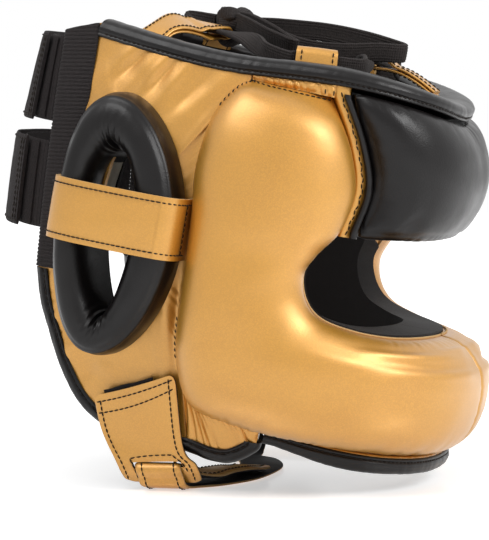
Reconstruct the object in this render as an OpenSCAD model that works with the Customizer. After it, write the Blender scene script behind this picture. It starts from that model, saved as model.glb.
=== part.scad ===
// Full face boxing headguard, in millimetres.
// The guard is shaped in the frame of the head that wears it: +Z up along the head,
// the face looks along -Y and the wearer's right side is at -X.
// Each layer lies at a depth outside one inner surface, measured square to it in plan.
// posed() then nods that frame forward and lifts it, so that the chin strap stands on Z = 0.

/* [Head cavity] */
// Half of the inside width at ear height
head_half_w = 79; // [75:1:83]
// Inside reach ahead of the ear line at the forehead
head_front = 95; // [90:1:100]
// Inside reach behind the ear line
head_rear = 125; // [120:1:130]
// Extra reach of the face bar ahead of the forehead
bar_reach = 19; // [14:1:24]
// How far the sides draw in towards the rim and the jaw
draw_in = 9; // [6:1:12]

/* [Stance] */
// Forward nod of the standing guard in degrees
nod = 10; // [8:1:12]
// Height of the eye line above the floor
eye_h = 130; // [128:1:133]

/* [Heights from the eye line] */
// Rim at the centre of the forehead
rim_front_z = 104; // [101:1:106]
// Rim above the temples
rim_temple_z = 113.5; // [112:0.5:116]
// Rim above the ears
rim_side_z = 111; // [109:1:113]
// Rim where it meets the rear tapes
rim_rear_z = 117.5; // [115:0.5:120]
// Rim at the rear corners
corner_z = 110; // [108:1:112]
// Lower edge of the forehead pad
brow_z = 28; // [25:1:31]
// Upper edge of the cheek bumpers
bumper_top_z = 100.5; // [98:0.5:102]
// Upper edge of the face bar
bar_top_z = -26; // [-30:1:-22]
// Lower edge of the face bar
bar_low_z = -90; // [-92:1:-88]
// Lower edge of the side panels
jaw_z = -107; // [-109:1:-104]
// Lower edge of the flange under the face bar
chin_z = -99; // [-101:1:-97]

/* [Thicknesses] */
// Leather covers with their thin foam backing
cover_t = 3; // [2:0.5:4]
// Inner lining
lining_t = 2.2; // [1.5:0.1:3]
// Side panel at its bound edges
edge_t = 12.5; // [11:0.5:14]
// Side panel under the ear ring
panel_t = 16; // [15:0.5:18]
// Cheek bumper at the cheek
cheek_t = 38; // [34:1:42]
// Face bar
bar_t = 48; // [44:1:52]
// Forehead pad over its base panel
pad_t = 33; // [30:1:36]
// Rim at the centre of the forehead
rim_front_t = 28; // [24:1:30]
// Binding leather
bind_t = 1.4; // [1:0.1:2]
// Gap between neighbouring pieces
gap = 0.3; // [0.25:0.05:0.4]

/* [Ear rings and bands] */
// Half width of the ring
ear_half_w = 32.5; // [31:0.5:34]
// Half height of the ring
ear_half_h = 73; // [69:1:74]
// How far the ends of the ring sit behind its middle
ear_bow = 8; // [6:0.5:10]
// Half width of the opening
ear_open_w = 12; // [10:0.5:13]
// Half height of the opening
ear_open_h = 50; // [46:1:52]
// Height of the padded ring over the panel
ear_ring_h = 22; // [20:1:24]
// Backward lean of the ring in degrees
ear_lean = 3.5; // [2:0.5:6]
// Lower edge of the band
band_z = -2.5; // [-5:0.5:1]
// Height of the band
band_h = 34; // [30:1:38]
// Leather of the band
band_t = 1.8; // [1.4:0.1:2.4]

/* [Edge bindings] */
// Height of the crown and jaw bindings on the outside
bind_leg = 9.5; // [8:0.5:11]
// Height of the crown and jaw bindings on the inside
bind_leg_in = 6; // [5:0.5:8]
// Width of the elastic rear tape on the outside
tape_w = 20; // [16:1:22]
// Lower end of the elastic rear tape
tape_low_z = -23; // [-26:1:-20]
// Diameter of the temple piping
piping_d = 3.6; // [3:0.2:4.4]
// Width of the temple facing
facing_w = 8; // [6:1:10]

/* [Rear closures] */
// Lower edge of the upper closure
upper_z = 57; // [55:1:60]
// Height of the upper closure
upper_h = 50; // [44:1:52]
// Lower edge of the lower closure
lower_z = -3; // [-6:1:0]
// Height of the lower closure
lower_h = 51; // [46:1:54]
// Strap leather
strap_t = 1.8; // [1.4:0.1:2.4]
// Hook and loop faces
loop_t = 1.2; // [0.8:0.1:1.6]
// Depth of the upper closure's rear from the middle of the head
upper_reach = 126; // [120:1:130]
// Depth of the lower closure's rear from the middle of the head
lower_reach = 131; // [126:1:135]

/* [Crown loops and lace] */
// Width of the leather tongues
tongue_w = 18; // [14:1:22]
// Leather of the tongues and side tabs
tongue_t = 1.8; // [1.4:0.1:2.2]
// Height of the side tabs over the rim
tab_h = 10.5; // [9:0.5:12]
// Width of the flat lace
lace_w = 12; // [10:0.5:12.5]
// Thickness of the flat lace
lace_t = 2.6; // [2:0.1:3]

/* [Chin closure] */
// Thickness of the slotted chin tab
chin_tab_t = 3; // [2.5:0.1:3.5]
// Thickness of the chin strap
chin_strap_t = 2.6; // [2.2:0.1:3]
// Width of the slot across its short side
slot_h = 6; // [5.5:0.5:7]

/* [Hidden] */
plan_n = 2.6;
ear_line_y = 10;
mid_z = 10;
// Plan angles of the temple seam at even steps up from the brow
SEAM = [-48.5, -51, -48.2, -43];
seam_step = 24;
rear_y = 92;
rear_rake = 8;
gusset_y = -8;
// Origin shift that centres the standing guard on its box
stand_y = 2.3;
// Clearance of the foam cores inside their covers
core_gap = 0.6;
GOLD = "#daa65b";
BLACK = "#2a2626";
FOAM = "#c9c5b8";

// Blends and splines

function mix(a, b, t) = a + (b - a) * t;

function ease(t) = let (c = max(0, min(1, t))) c * c * (3 - 2 * c);

// Signed power, for superellipses
function pw(x, e) = sign(x) * pow(abs(x), e);

function unit(v) = v / norm(v);

// Point on the smooth curve through the points p, with t counted in points
function spline(p, t) =
    let (
        last = len(p) - 1,
        i = max(0, min(last - 1, floor(t))),
        f = t - i,
        b = p[i],
        c = p[i + 1],
        a = i > 0 ? p[i - 1] : 2 * b - c,
        d = i < last - 1 ? p[i + 2] : 2 * c - b
    )
    0.5 * (2 * b + (c - a) * f + (2 * a - 5 * b + 4 * c - d) * f * f
        + (3 * b - a - 3 * c + d) * f * f * f);

// The curve through p cut into count pieces
function along(p, count) = [for (i = [0:count]) spline(p, i * (len(p) - 1) / count)];

// The inner surface of the guard
// Its level sections are half superellipses that meet at the ear line. The plan angle th
// is 0 at the right ear, -90 at the face, -180 at the left ear and 90 at the back.

function half_w(z) = head_half_w - draw_in * pow((z - mid_z) / 108, 2);

function reach(th, z) = sin(th) < 0 ? head_front + bar_reach * ease((20 - z) / 70) : head_rear;

// Point at plan angle th and height z, d outside the inner surface
function shell_pt(th, z, d) =
    let (
        a = half_w(z),
        b = reach(th, z),
        r = pow(pow(abs(cos(th)) / a, plan_n) + pow(abs(sin(th)) / b, plan_n), -1 / plan_n),
        x = -r * cos(th),
        y = r * sin(th),
        n = unit([pw(x / a, plan_n - 1) / a, pw(y / b, plan_n - 1) / b])
    )
    [x + d * n[0], ear_line_y + y + d * n[1], z];

// Plan angle of the inner surface at depth y on the right side
function th_of(y, z) =
    let (
        dy = y - ear_line_y,
        b = reach(dy, z),
        x = half_w(z) * pow(max(0, 1 - pow(abs(dy) / b, plan_n)), 1 / plan_n)
    )
    atan2(dy, x);

function side_pt(y, z, d) = shell_pt(th_of(y, z), z, d);

function depth_y(th, z) = shell_pt(th, z, 0)[1];

// Height of the rim edge, the same on both sides
function rim_z(th) =
    let (f = th < -90 ? -180 - th : th)
    f < -45 ? mix(rim_front_z, rim_temple_z, ease((f + 90) / 45))
    : f < -8 ? mix(rim_temple_z, rim_side_z, ease((f + 45) / 37))
    : mix(rim_side_z, rim_rear_z, pow((f + 8) / 55, 2));

// Depth of the side panels' rear edge, which rakes back towards the rim
function back_y(z) = rear_y + rear_rake * (z - tape_low_z) / (corner_z - tape_low_z);

// Lower edge of the crown binding's outer leg
function bind_low(th) = rim_z(th) - bind_leg - gap;

// Plan angle of the temple seam at height z
function seam_th(z) = spline(SEAM, max(0, min(3, (z - brow_z) / seam_step)));

// Depth of the outer face at the rim
function rim_t(th) =
    let (f = th < -90 ? -180 - th : th)
    edge_t + (rim_front_t - edge_t) * ease((-25 - f) / 45);

// Solids from rings of points

function face_volume(p, f) =
    let (v = [for (t = f) p[t[0]] * cross(p[t[1]], p[t[2]])])
    v * [for (t = f) 1];

// Closed solid through rings that all have the same even number of points. Both end rings
// are closed by strips between their two halves, unless the rings run round in a loop.
module skin(rings, loop = false) {
    m = len(rings);
    n = len(rings[0]);
    points = [for (r = rings) each r];
    sides = [
        for (i = [0:m - (loop ? 1 : 2)], j = [0:n - 1])
            let (k = (j + 1) % n, a = i * n, b = ((i + 1) % m) * n)
            each [[a + j, a + k, b + k], [a + j, b + k, b + j]]
    ];
    e = (m - 1) * n;
    caps = loop ? [] : [
        for (j = [0:n / 2 - 2])
            let (q = n - 1 - j)
            each [
                [j, q, q - 1], [j, q - 1, j + 1],
                [e + j, e + j + 1, e + q - 1], [e + j, e + q - 1, e + q]
            ]
    ];
    faces = concat(sides, caps);
    outward = face_volume(points, faces) < 0;
    polyhedron(points, outward ? faces : [for (f = faces) [f[2], f[1], f[0]]]);
}

// Ribbon between two edge lines, t thick
module ribbon(front, back, t, loop = false) {
    last = len(front) - 1;
    function mid(i) = (front[i] + back[i]) / 2;
    skin([
        for (i = [0:last])
            let (
                run = mid(min(last, i + 1)) - mid(max(0, i - 1)),
                n = unit(cross(run, front[i] - back[i])) * t / 2,
                w = unit(front[i] - back[i]) * t * 0.3
            )
            [front[i], front[i] - w + n, back[i] + w + n, back[i], back[i] + w - n, front[i] - w - n]
    ], loop);
}

// Section of a binding: a channel round an edge, as [inset from the edge, depth] pairs
function channel(leg_out, leg_in, d_in, d_out) =
    let (b = gap + bind_t, mid = (d_in + d_out) / 2)
    [
        [leg_out, d_out + b], [-gap, d_out + b], [-b - 0.6, mid], [-gap, d_in - b],
        [leg_in, d_in - b], [leg_in, d_in - gap], [-gap, d_in - gap], [-gap, mid],
        [-gap, d_out + gap], [leg_out, d_out + gap]
    ];

// Binding along an edge on the right side, given as [y, z] points with the panel on the
// left of the run. Its last section runs along the direction end, where that is given, and
// its inner leg lies slack inside the lining.
module side_binding(edge, leg_out, leg_in, end, slack = 0) {
    last = len(edge) - 1;
    skin([
        for (i = [0:last])
            let (
                run = unit(edge[min(last, i + 1)] - edge[max(0, i - 1)]),
                inward = i == last && end != undef ? end : [-run[1], run[0]]
            )
            [
                for (c = channel(leg_out, leg_in, -lining_t - slack, edge_t))
                    let (p = edge[i] + c[0] * inward)
                    side_pt(p[0], p[1], c[1])
            ]
    ]);
}

module posed() {
    translate([0, stand_y, eye_h])
        rotate([nod, 0, 0])
            children();
}

module mirrored() {
    mirror([1, 0, 0])
        children();
}

// Point of the head frame in the standing frame, before the shift along Y
function to_floor(p) = [
    p[0],
    p[1] * cos(nod) - p[2] * sin(nod),
    eye_h + p[1] * sin(nod) + p[2] * cos(nod)
];

// Cheek bumper
// Each row gives the rear edge and the front edge as [plan angle, height], then the
// thickness and the depth of the widest line. It starts at the temple and ends at the
// centre seam of the face bar.
BUMPER = [
    [-15, bumper_top_z, seam_th(99), bumper_top_z - 2, edge_t + 3, 8],
    [-11.5, bumper_top_z - 8, seam_th(85), bumper_top_z - 16, cheek_t - 8, 13],
    [-3.8, 76, seam_th(70), 70, cheek_t - 2, 15],
    [-0.5, 52, seam_th(50), 50, cheek_t, 16],
    [-2, 26, seam_th(brow_z), brow_z, cheek_t, 16],
    [-3, 2, -43.6, 14, cheek_t, 16],
    [-3.5, -24, -41, 2, mix(cheek_t, bar_t, 0.2), 16],
    [-5.5, -54, -42.5, bar_top_z + 15, mix(cheek_t, bar_t, 0.4), 18],
    [-14, bar_low_z + 11, -47, bar_top_z + 5.5, mix(cheek_t, bar_t, 0.6), 20],
    [-31, bar_low_z + 4, -55, bar_top_z + 1, mix(cheek_t, bar_t, 0.8), 22],
    [-50, bar_low_z + 1.5, -64, bar_top_z - 0.5, mix(cheek_t, bar_t, 0.9), 24],
    [-70, bar_low_z, -77, bar_top_z, bar_t, 24],
    [-89.9, bar_low_z, -89.9, bar_top_z, bar_t - 1, 24]
];
BUMPER_END = len(BUMPER) - 1;

function rear_edge(u) = let (s = spline(BUMPER, u)) [s[0], s[1]];

function front_edge(u) = let (s = spline(BUMPER, u)) [s[2], s[3]];

// Rear edge of the bumper as [y, z], and the point g outside it
function rear_yz(u) = let (e = rear_edge(u)) [depth_y(e[0], e[1]), e[1]];

function rear_out(u, g) =
    let (run = unit(rear_yz(u + 0.05) - rear_yz(u - 0.05)))
    rear_yz(u) + g * [-run[1], run[0]];

// Outline of the bumper across its length at station u, e inside its outer face
function bumper_ring(u, e, count) =
    let (
        s = spline(BUMPER, u),
        a = shell_pt(s[0], s[1], s[5]),
        b = shell_pt(s[2], s[3], s[5]),
        w = norm(b - a),
        flat = mix(4.5, 2.6, ease((u - 5) / 5))
    )
    [
        for (i = [0:count - 1])
            let (
                c = cos(360 * i / count),
                v = sin(360 * i / count),
                m = v >= 0 ? 2.3 : flat,
                q = 0.5 - (0.5 - e / w) * pw(c, 2 / m),
                d = v >= 0 ? s[5] + (s[4] - s[5] - e) * pw(v, 2 / m)
                    : s[5] + (s[5] - gap - e) * pw(v, 2 / m)
            )
            shell_pt(mix(s[0], s[2], q), mix(s[1], s[3], q), d)
    ];

BUMPER_SIDES = 16;
// Stations of the bumper's hollow inside
HOLLOW_U = [for (i = [0:13]) mix(0.55, BUMPER_END, i / 13)];

module cheek_bumper() {
    outer = [for (i = [0:26]) bumper_ring(i * BUMPER_END / 26, 0, BUMPER_SIDES)];
    inner = [for (i = [13:-1:0]) bumper_ring(HOLLOW_U[i], cover_t, BUMPER_SIDES)];
    skin(concat(outer, inner));
}

module bumper_foam() {
    skin([for (u = HOLLOW_U) bumper_ring(max(0.62, u), cover_t + core_gap, BUMPER_SIDES)]);
}

// Lining strip behind the bumper, from the rim to the centre seam. Its front edge turns out
// over the bumper's inner half round the eye opening.
module cheek_lining() {
    top = BUMPER[0];
    stations = concat(
        [[[top[0], rim_z(top[0])], [top[2], rim_z(top[2])], 0, 0]],
        [for (i = [0:24]) [rear_edge(i / 2), front_edge(i / 2), ease(i - 8.2), spline(BUMPER, i / 2)[5]]]
    );
    skin([
        for (s = stations)
            let (
                w = norm(shell_pt(s[0][0], s[0][1], 0) - shell_pt(s[1][0], s[1][1], 0)),
                q0 = 1 + gap * s[2] / w,
                q1 = q0 + (0.1 + lining_t * 0.7 * s[2]) / w,
                lip = s[2] * (s[3] - 3)
            )
            concat(
                [for (q = [0:0.25:0.75]) let (p = mix(s[0], s[1], q)) shell_pt(p[0], p[1], 0)],
                [for (e = [[q0, 0], [q0, lip], [q1, lip], [q1, -lining_t]])
                    let (p = mix(s[0], s[1], e[0])) shell_pt(p[0], p[1], e[1])],
                [for (q = [0.75:-0.25:0]) let (p = mix(s[0], s[1], q)) shell_pt(p[0], p[1], -lining_t)]
            )
    ]);
}

// Side panel
// Its outline runs down the bumper's rear edge, along the jaw, up the rear edge and back
// along the rim. Each row is [y, z, width of the edge strip that stays thin].

CROWN_STEP = 7;
// Plan angle at which the crown binding meets the rear tape
CROWN_END = th_of(back_y(corner_z) - tape_w - 2 * gap, rim_rear_z);
CROWN_TH = concat([for (th = [-15:CROWN_STEP:34]) th], [CROWN_END]);

// Middle of the ear ring and of its opening, which sits further back
EAR_Y = 42.5;
EAR_Z = 10;
OPEN_Y = EAR_Y + 5.5;

// Clearance of the panel from the bumper's rear edge
EDGE_GAP = gap + 0.2;

// Width along the spoke through p of a strip that is w wide beside an upright edge
function strip(p, w) = w * norm(p - [OPEN_Y, EAR_Z]) / abs(p[0] - OPEN_Y);

JAW = [[gusset_y, jaw_z], [12, jaw_z + 1], [30, jaw_z + 3], [45, jaw_z + 6]];
REAR = [
    [59, jaw_z + 16], [71, jaw_z + 33], [80, jaw_z + 51], [87, -41], [rear_y, tape_low_z],
    for (z = [14:27:95]) [back_y(z), z]
];
CROWN_PANEL = [for (th = CROWN_TH) [depth_y(th, rim_z(th)), rim_z(th)]];
REAR_TOP = [back_y(corner_z), corner_z];

OUTLINE = concat(
    [concat(CROWN_PANEL[0] + [EDGE_GAP, 0], 14)],
    [for (u = [0:7]) concat(rear_out(u, EDGE_GAP), 6)],
    [concat(JAW[0] + [EDGE_GAP, 0], 18)],
    [for (i = [1:3]) concat(JAW[i], 18)],
    [for (i = [0:3]) concat(REAR[i], 23)],
    [for (i = [4:len(REAR) - 1]) concat(REAR[i], strip(REAR[i], tape_w + 2.5))],
    [concat(REAR_TOP, strip(REAR_TOP, tape_w))],
    [for (i = [len(CROWN_PANEL) - 1:-1:1]) concat(CROWN_PANEL[i], 18)]
);

// Vector in the side plane, turned with the lean of the ear ring
function leaned(y, z) = [
    y * cos(ear_lean) + z * sin(ear_lean),
    z * cos(ear_lean) - y * sin(ear_lean)
];

// Distance from the ear centre to an oval of half sizes a and b, towards the vector v
function oval_r(v, a, b) =
    let (y = v[0] * cos(ear_lean) - v[1] * sin(ear_lean),
        z = v[1] * cos(ear_lean) + v[0] * sin(ear_lean))
    norm(v) / norm([y / a, z / b]);

// Ring of the panel's grid towards outline point k: d0 and d1 give the inner and the outer
// face as [depth in the middle, depth at the edge]
function panel_ring(k, hole, d_in, d_mid, d_edge) =
    let (
        o = OUTLINE[k],
        c = [OPEN_Y, EAR_Z],
        v = [o[0], o[1]] - c,
        far = norm(v),
        near = oval_r(v, ear_open_w + hole, ear_open_h + hole),
        f3 = max(0.14, 1 - o[2] / (far - near)),
        f1 = min(f3 - 0.1, (oval_r(v, ear_half_w * 0.6, ear_half_h * 0.75) - near) / (far - near)),
        f2 = max(0.04, f1),
        steps = [0, f2, mix(f2, f3, 0.5), f3, 1],
        depth = [d_mid, d_mid, d_mid - 0.5, d_edge, d_edge],
        at = [for (s = steps) c + unit(v) * mix(near, far, s)]
    )
    concat(
        [for (i = [0:4]) side_pt(at[i][0], at[i][1], depth[i])],
        [for (i = [4:-1:0]) side_pt(at[i][0], at[i][1], d_in == undef ? depth[i] - cover_t : d_in)]
    );

PANEL_HOLE = 2.5;

module side_panel() {
    skin([for (k = [0:len(OUTLINE) - 1]) panel_ring(k, PANEL_HOLE, undef, panel_t, edge_t)], true);
}

module side_foam() {
    drop = cover_t + 2 * gap;
    skin([
        for (k = [0:len(OUTLINE) - 1])
            panel_ring(k, PANEL_HOLE + 1, 2 * gap, panel_t - drop, edge_t - drop)
    ], true);
}

module side_lining() {
    skin([for (k = [0:len(OUTLINE) - 1]) panel_ring(k, PANEL_HOLE, -lining_t, 0, 0)], true);
}

// Ear ring and band

module ear_ring() {
    base = panel_t + gap;
    sides = 10;
    skin([
        for (f = [0:12:348])
            let (
                bow = ear_bow * pow(sin(f), 2),
                outer = [EAR_Y, EAR_Z] + leaned(ear_half_w * cos(f) + bow, ear_half_h * sin(f)),
                inner = [OPEN_Y, EAR_Z]
                    + leaned(ear_open_w * pw(cos(f), 1.3), ear_open_h * pw(sin(f), 1.3))
            )
            [
                for (j = [0:sides - 1])
                    let (
                        c = cos(j * 360 / sides),
                        s = sin(j * 360 / sides),
                        q = 0.5 - 0.5 * pw(c, 2 / 2.2),
                        p = mix(inner, outer, q)
                    )
                    side_pt(p[0], p[1], base + ear_ring_h * pw(max(0, s), 2 / 2.2))
            ]
    ], true);
}

// Length of the band's feet
BAND_FOOT = 3;

// The band bridges the ring with square shoulders and ends on the panel and on the tape
module ear_band() {
    foot = panel_t + gap;
    front_foot = edge_t + 0.7;
    tape_top = edge_t + gap + bind_t + gap;
    mid_y = EAR_Y + 0.8;
    hw = ear_half_w + 1.1;
    h = ear_ring_h + 2;
    function arch(o) = [
        for (t = [180:-15:0])
            [mid_y + (hw + o) * pw(cos(t), 0.5), foot + (h + o) * pw(sin(t), 0.5)]
    ];
    inner = concat([[mid_y - hw, front_foot]], arch(0),
        [[mid_y + hw + 0.4, tape_top], [mid_y + hw + BAND_FOOT, tape_top]]);
    outer = concat([[mid_y - hw - band_t, front_foot]], arch(band_t),
        [[mid_y + hw + 0.4 + band_t, tape_top + band_t], [mid_y + hw + BAND_FOOT, tape_top + band_t]]);
    last = len(outer) - 1;
    skin([
        for (z = [band_z:band_h / 3:band_z + band_h + 0.01])
            concat(
                [for (p = inner) side_pt(p[0], z, p[1])],
                [for (i = [last:-1:0]) side_pt(outer[i][0], z, outer[i][1])]
            )
    ]);
}

// Forehead

// Angle taken up by a width w on the outside of the temple
function temple_step(w) = w / (half_w(60) + 34) * 57.3;

// Plan angle of the pad's end beside the temple facing
function pad_th(z) = seam_th(z) - temple_step(facing_w) - 1.2;

// Plan angle at the share f of the way round the forehead
function brow_th(f, z) = mix(pad_th(z), -180 - pad_th(z), f);

BASE_T = 12;

// Lower edge of the forehead, which drops towards the temples
function brow_low(f) = brow_z - 3 * pow(abs(2 * f - 1), 3);

function forehead_ring(f, e) =
    let (
        side = pow(abs(2 * f - 1), 3),
        thick = mix(pad_t, 13, side),
        mid = BASE_T + gap + thick * 0.42,
        low = brow_low(f),
        high = bind_low(brow_th(f, bumper_top_z)) - gap,
        half = (high - low) / 2
    )
    [
        for (i = [0:15])
            let (
                c = cos(22.5 * i),
                v = sin(22.5 * i),
                m = v >= 0 ? 2.1 : 4.5,
                z = low + half - (half - e) * pw(c, 2 / m),
                rise = BASE_T + gap + thick - e - mid,
                sink = mid - BASE_T - gap - e
            )
            shell_pt(brow_th(f, z), z, mid + (v >= 0 ? rise : sink) * pw(v, 2 / m))
    ];

// Stations of the pad's hollow inside
PAD_HOLLOW = [for (i = [0:10]) mix(0.03, 1, i / 10)];

module forehead_pad() {
    skin(concat(
        [for (i = [0:20]) forehead_ring(i / 20, 0)],
        [for (i = [10:-1:0]) forehead_ring(PAD_HOLLOW[i], cover_t)]
    ));
}

module forehead_foam() {
    skin([for (f = PAD_HOLLOW) forehead_ring(max(0.037, min(0.996, f)), cover_t + 1.3 * core_gap)]);
}

BROW_STEPS = 12;

// Flat base panel behind the pad, which thickens above it to carry the rim
module forehead_base() {
    skin([
        for (i = [0:BROW_STEPS])
            let (
                f = i / BROW_STEPS,
                low = brow_low(f),
                neck = bind_low(brow_th(f, bumper_top_z)),
                rim = rim_z(brow_th(f, rim_temple_z)),
                d = rim_t(brow_th(f, rim_temple_z)) - 2 * gap,
                b = 2 * gap,
                section = [
                    [low, b], [mix(low, neck, 0.3), b], [mix(low, neck, 0.6), b], [neck, b], [rim, b],
                    [rim, d], [neck, d], [neck - 0.4, BASE_T], [mix(low, neck, 0.6), BASE_T],
                    [mix(low, neck, 0.3), BASE_T], [low, BASE_T]
                ]
            )
            [for (p = concat(section, [[low, BASE_T / 2]])) shell_pt(brow_th(f, p[0]), p[0], p[1])]
    ]);
}

module forehead_lining() {
    skin([
        for (i = [0:BROW_STEPS])
            let (
                f = i / BROW_STEPS,
                low = brow_low(f),
                rim = rim_z(brow_th(f, rim_temple_z)),
                step = temple_step(facing_w + 0.5) * (2 * f - 1),
                z = [for (q = [0, 0.3, 0.6, 1]) mix(low, rim, q)]
            )
            concat(
                [for (k = [0:3]) shell_pt(brow_th(f, z[k]) - step, z[k], 0)],
                [for (k = [3:-1:0]) shell_pt(brow_th(f, z[k]) - step, z[k], gap - lining_t)]
            )
    ]);
}

FACING_D = 19;

module temple_facing() {
    step = temple_step(facing_w);
    low = brow_low(0);
    top = rim_z(seam_th(rim_temple_z) - step / 2);
    skin([
        for (i = [0:10])
            let (
                z = mix(low, top, i / 10),
                a = seam_th(z) - 0.2,
                b = a - step,
                m = (a + b) / 2,
                d = min(FACING_D, rim_t(m) + 6 * ease((bind_low(m) - z) / 8))
            )
            [
                shell_pt(a, z, gap), shell_pt(m, z, gap), shell_pt(b, z, gap),
                shell_pt(b, z, d - 1), shell_pt(m, z, d), shell_pt(a, z, d - 1)
            ]
    ]);
}

module temple_piping() {
    r = piping_d / 2;
    low = brow_low(0);
    top = bind_low(pad_th(bumper_top_z)) - r;
    skin([
        for (i = [0:10])
            let (z = mix(low, top, i / 10), th = seam_th(z) - temple_step(facing_w - r))
            [
                for (j = [0:7])
                    shell_pt(th + temple_step(r * cos(45 * j)), z, FACING_D + gap + r + r * sin(45 * j))
            ]
    ]);
}

// Gathered strip between the top of the bumper and the rim
module temple_gather() {
    a = BUMPER[0];
    skin([
        for (f = [0:0.25:1])
            let (
                th = mix(a[0] - 0.2, a[2], f),
                low = mix(a[1], a[3], f) + gap,
                rim = rim_z(th),
                d = rim_t(th)
            )
            [
                shell_pt(th, low, gap), shell_pt(th, (low + rim) / 2, gap), shell_pt(th, rim, gap),
                shell_pt(th, rim, d), shell_pt(th, (low + rim) / 2, d), shell_pt(th, low, d)
            ]
    ]);
}

// Jaw

// Bumper stations at which the gusset starts and ends
GUSSET_U = [9.4, 7];

// Lower edge of the gusset, from the chin notch to the side panel
NOTCH = [
    [rear_yz(GUSSET_U[0])[0], bar_low_z - 3.5], [-42, bar_low_z - 10], [-31, jaw_z - 1],
    [-20, jaw_z - 2], JAW[0]
];

// Pleated leather between the bumper and the jaw binding
module jaw_gusset() {
    pleats = 12;
    skin([
        for (i = [0:pleats])
            let (
                top = rear_out(mix(GUSSET_U[0], GUSSET_U[1], i / pleats), EDGE_GAP),
                low = spline(NOTCH, i * 4 / pleats),
                at = [for (q = [0:0.25:1]) mix(low, top, q)],
                pleat = [0, 0, 0.6, 1, 0.6] * (i % 2 == 0 ? -1.6 : 0.6)
            )
            concat(
                [for (k = [0:4]) side_pt(at[k][0], at[k][1], edge_t + pleat[k])],
                [for (k = [4:-1:0]) side_pt(at[k][0], at[k][1], -lining_t)]
            )
    ]);
}

// Bindings of the rear half follow the corners of the side panel's outline
module jaw_binding() {
    edge = concat(
        [for (i = [1:12]) spline(NOTCH, i / 3)],
        [for (i = [1:3]) JAW[i]],
        [for (i = [0:3]) REAR[i]],
        [REAR[4] - [0, gap]]
    );
    side_binding(edge, bind_leg, bind_leg_in, [-1, 0]);
}

module rear_tape() {
    edge = concat([for (i = [4:8]) REAR[i]], [REAR_TOP]);
    top = CROWN_PANEL[len(CROWN_PANEL) - 1] - REAR_TOP;
    side_binding(edge, tape_w, bind_leg_in, unit(top), 0.5);
}

module crown_binding() {
    right = concat([for (i = [len(CROWN_TH) - 1:-1:0]) CROWN_TH[i]], [for (th = [-22:-CROWN_STEP:-85]) th]);
    ring = concat(right, [-90], [for (i = [len(right) - 1:-1:0]) -180 - right[i]]);
    skin([
        for (th = ring)
            [
                for (c = channel(bind_leg, bind_leg_in, -lining_t, rim_t(th)))
                    shell_pt(th, rim_z(th) - c[0], c[1])
            ]
    ]);
}

// Depth of the middle of the chin flange at bumper station u
function flange_d(u) = mix(5, 26, ease((u - 9.5) / 1.4));

function flange_low(u) = mix(bar_low_z - 4, chin_z, ease((u - 9.5) / 1.2));

FLANGE_T = 8;
FLANGE_U = [9.6, 10, 10.4, 10.8, 11.2, 11.6, 12];

// Both halves of a piece that runs round under the face bar
function chin_run() = concat(
    [for (u = FLANGE_U) [rear_edge(u)[0], rear_edge(u)[1], u]],
    [for (i = [len(FLANGE_U) - 2:-1:0]) let (u = FLANGE_U[i], e = rear_edge(u)) [-180 - e[0], e[1], u]]
);

module chin_flange() {
    skin([
        for (p = chin_run())
            let (d = flange_d(p[2]), top = p[1] - gap - 0.1, low = flange_low(p[2]))
            [
                shell_pt(p[0], low, d - FLANGE_T / 2), shell_pt(p[0], top, d - FLANGE_T / 2),
                shell_pt(p[0], top, d + FLANGE_T / 2), shell_pt(p[0], low, d + FLANGE_T / 2)
            ]
    ]);
}

module chin_binding() {
    skin([
        for (p = chin_run())
            let (
                d = flange_d(p[2]),
                low = flange_low(p[2]),
                leg = min(8, p[1] - low - 1.5)
            )
            [
                for (c = channel(leg, leg, d - FLANGE_T / 2, d + FLANGE_T / 2))
                    shell_pt(p[0], low + c[0], c[1])
            ]
    ]);
}

// Rear closures
// Each strap follows a curve round the back of the head between the two rear tapes. The
// share t runs from 0 at the right tape to 1 at the left one.

CLOSURE_D = edge_t - 5;

// Point of a strap layer that lies o outside the strap line
function closure_pt(t, z, o, back) =
    let (
        e = side_pt(back_y(z) + gap + bind_t + gap, z, CLOSURE_D + o),
        c = cos(180 * t),
        s = sin(180 * t)
    )
    [e[0] * pw(c, 0.83), e[1] + (back + o - e[1]) * pw(s, 0.83), z];

// Each closure as its lower and upper edge and the rear reach of both
UPPER = [upper_z, upper_z + upper_h, upper_reach + 3, upper_reach - 2];
LOWER = [lower_z, lower_z + lower_h, lower_reach - 1, lower_reach + 1];

// Layer of a closure from share t0 to t1, between two offsets from the strap line
module closure(size, t0, t1, o0, o1, trim) {
    z0 = size[0] + trim;
    z1 = size[1] - trim;
    skin([
        for (i = [round(t0 * 20):round(t1 * 20)])
            let (t = i / 20)
            [
                closure_pt(t, z0, o0, size[2]), closure_pt(t, z0, o1, size[2]),
                closure_pt(t, z1, o1, size[3]), closure_pt(t, z1, o0, size[3])
            ]
    ]);
}

LOOP_O = strap_t + 0.2;
HOOK_O = LOOP_O + loop_t + 0.4;
FLAP_O = HOOK_O + loop_t + 0.2;

module base_strap(size) {
    closure(size, 0, 0.8, 0, strap_t, 1);
}

module loop_face(size) {
    closure(size, 0.05, 0.8, LOOP_O, LOOP_O + loop_t, 2);
}

module hook_face(size) {
    closure(size, 0.15, 0.6, HOOK_O, HOOK_O + loop_t, 2);
}

module flap_strap(size) {
    closure(size, 0.1, 1, FLAP_O, FLAP_O + strap_t, 0);
}

// Crown loops

// Length and height of the eye that a tongue forms round the lace
EYE = lace_w + 3;
EYE_H = lace_t + 1.6;

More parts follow.
